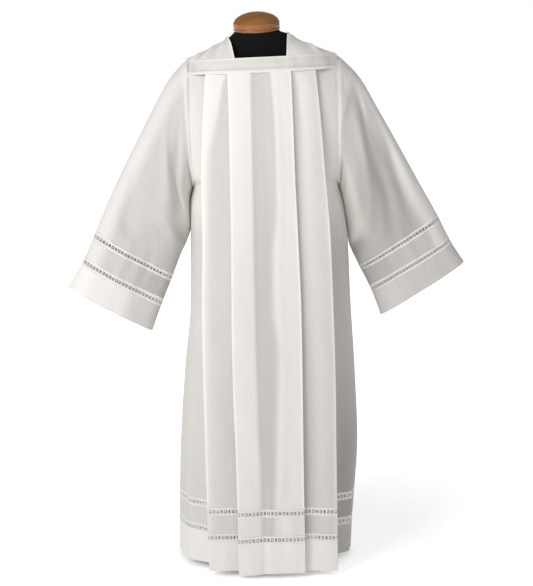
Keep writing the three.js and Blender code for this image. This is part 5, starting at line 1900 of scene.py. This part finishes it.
class ALB_OT_stitches(bpy.types.Operator):
    """Sew the seams, the hems and the edges"""

    bl_idname = "alb.stitches"
    bl_label = "Stitches"

    def execute(self, context):
        sizes, colours = context.scene.alb.sizes, context.scene.alb.colours
        material = thread_material(
            "sewing_thread", colours.cotton_edge, STITCH_TWIST, STITCH_ROUGHNESS
        )
        lines = []
        for name, panel in PANELS.items():
            toward = (0, panel["side"], 0)
            for height in stitch_places((UPPER_LACE, LOWER_LACE), HEM_STITCH):
                grid = panel_grid(panel, (height + NEAR, height, height - NEAR))[0]
                normal = facing_out(grid, False, toward)
                lines.append((line_on(grid, normal, row=1, lift=STITCH_LIFT), False))
            grid = band_grid(name)[0]
            normal = facing_out(grid, False, toward)
            for row in (BAND_STITCH_ROW, len(grid) - 1 - BAND_STITCH_ROW):
                lines.append((line_on(grid, normal, row=row, lift=BAND_STITCH_LIFT), False))
        for side in SLEEVES:
            for along in stitch_places((CUFF_LACE_HIGH, CUFF_LACE_LOW), CUFF_STITCH):
                grid = sleeve_grid(side, (along + NEAR, along, along - NEAR))
                lines.append((line_on(grid, facing_out(grid, True), row=1, lift=STITCH_LIFT), True))
            grid = shoulder_grid(side)[0]
            normal = facing_out(grid, False, (0, 0, 1))
            lines.append((line_on(grid, normal, column=NECK_STITCH_COLUMN, lift=STITCH_LIFT), False))
        parts = [
            along_path(f"seam_{k}", *line, stitch_motif(), sizes.stitch_pitch, material, closed=closed,
                       unevenness_share=STITCH_UNEVENNESS, seed=k + 1)
            for k, (line, closed) in enumerate(lines)
        ]
        thing = joined(parts, "stitching")
        only_material(thing, material)
        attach(thing, BODY_NAME)
        return {"FINISHED"}


class ALB_OT_form(bpy.types.Operator):
    """Build the torso of the dress form"""

    bl_idname = "alb.form"
    bl_label = "Form Torso"

    def execute(self, context):
        thing = shell_of_rings("form_torso_skin", torso_rings())
        finish_piece(thing, jersey_material(), "jersey", "form_torso")
        return {"FINISHED"}


class ALB_OT_neck_cap(bpy.types.Operator):
    """Turn the varnished cap of the form's neck"""

    bl_idname = "alb.neck_cap"
    bl_label = "Neck Cap"

    def execute(self, context):
        thing = shell_of_rings("neck_cap_turned", cap_rings())
        finish_piece(thing, wood_material(), "varnished_wood", "form_neck_cap")
        return {"FINISHED"}


class ALB_OT_stand(bpy.types.Operator):
    """Build the pole and the base plate"""

    bl_idname = "alb.stand"
    bl_label = "Pole and Base"

    def execute(self, context):
        for name, rings in (("form_pole", pole_rings()), ("form_base", base_rings())):
            thing = shell_of_rings(f"{name}_turned", rings)
            finish_piece(thing, steel_material(), "painted_steel", name)
        return {"FINISHED"}


CAMERA_PLACE = (0.0125, -4.300, 1.515)
CAMERA_TILT = 79.97
CAMERA_LENS = 95.96
CAMERA_SENSOR = 36
CAMERA_REACH = 200
# the soft square lights: name of the light and of its power, place, side
LIGHTS = (("key", (-2.6, -3.2, 3.2), 2.0), ("overhead", (0.5, -0.6, 3.9), 2.4))
LIGHTS_AIM = (0, 0, 0.8)


class ALB_OT_stage(bpy.types.Operator):
    """Lay the floor and set the lights and the camera"""

    bl_idname = "alb.stage"
    bl_label = "Stage"

    def execute(self, context):
        scene = context.scene
        alb = scene.alb
        half = alb.sizes.floor / 2
        mesh = bpy.data.meshes.new("pale_floor")
        mesh.from_pydata([(-half, -half, 0), (half, -half, 0), (half, half, 0), (-half, half, 0)],
                         [], [(0, 1, 2, 3)])
        floor = bpy.data.objects.new("pale_floor", mesh)
        floor.data.materials.append(floor_material())
        scene.collection.objects.link(floor)
        for name, place, size in LIGHTS:
            light = bpy.data.lights.new(name, "AREA")
            light.size = size
            light.energy = getattr(alb.lights, name)
            lamp = bpy.data.objects.new(name, light)
            lamp.location = place
            ray = Vector(LIGHTS_AIM) - Vector(place)
            lamp.rotation_euler = ray.to_track_quat("-Z", "Y").to_euler()
            scene.collection.objects.link(lamp)
        world = bpy.data.worlds.new("studio")
        world.use_nodes = True
        tree = world.node_tree
        ambient = tree.nodes["Background"]
        ambient.inputs["Color"].default_value = (1, 1, 1, 1)
        ambient.inputs["Strength"].default_value = alb.lights.ambient
        plain = wire(tree, "ShaderNodeBackground", {"Color": (1, 1, 1, 1), "Strength": 1.0})
        rays = wire(tree, "ShaderNodeLightPath")
        mix = wire(
            tree, "ShaderNodeMixShader",
            {0: rays.outputs["Is Camera Ray"], 1: ambient.outputs[0], 2: plain.outputs[0]},
        )
        tree.links.new(mix.outputs[0], tree.nodes["World Output"].inputs["Surface"])
        scene.world = world
        scene.view_settings.view_transform = "Standard"
        camera = bpy.data.cameras.new("camera")
        camera.lens = CAMERA_LENS
        camera.sensor_width = CAMERA_SENSOR
        camera.clip_end = CAMERA_REACH
        eye = bpy.data.objects.new("camera", camera)
        eye.location = CAMERA_PLACE
        eye.rotation_euler = (math.radians(CAMERA_TILT), 0, 0)
        scene.collection.objects.link(eye)
        scene.camera = eye
        return {"FINISHED"}


OPERATORS = (
    ALB_OT_stage, ALB_OT_skirt, ALB_OT_lace, ALB_OT_sleeves, ALB_OT_yoke, ALB_OT_stitches,
    ALB_OT_form, ALB_OT_neck_cap, ALB_OT_stand,
)


class AlbSettings(bpy.types.PropertyGroup):
    """All settings of the alb."""

    sizes: PointerProperty(name="Sizes", description="Sizes of the cloth", type=AlbSizes)
    colours: PointerProperty(name="Colours", description="Colours of the pieces", type=AlbColours)
    lights: PointerProperty(name="Lights", description="The studio's lights", type=AlbLights)


class ALB_PT_panel(bpy.types.Panel):
    """Settings and steps of the alb"""

    bl_idname = "ALB_PT_panel"
    bl_label = "Pleated Alb"
    bl_space_type = "VIEW_3D"
    bl_region_type = "UI"
    bl_category = "Alb"

    def draw(self, context):
        alb = context.scene.alb
        for group in (alb.sizes, alb.colours, alb.lights):
            box = self.layout.box()
            for key in group.__annotations__:
                box.prop(group, key)
        for operator in OPERATORS:
            self.layout.operator(operator.bl_idname)


CLASSES = (AlbSizes, AlbColours, AlbLights, AlbSettings, *OPERATORS, ALB_PT_panel)


def register():
    for item in CLASSES:
        bpy.utils.register_class(item)
    bpy.types.Scene.alb = PointerProperty(type=AlbSettings)


def unregister():
    del bpy.types.Scene.alb
    for item in reversed(CLASSES):
        bpy.utils.unregister_class(item)


def plain(box):
    return [[float(v) for v in corner] for corner in box]


def main():
    register()
    for operator in OPERATORS:
        group, name = operator.bl_idname.split(".")
        getattr(getattr(bpy.ops, group), name)()


if __name__ == "__main__":
    main()
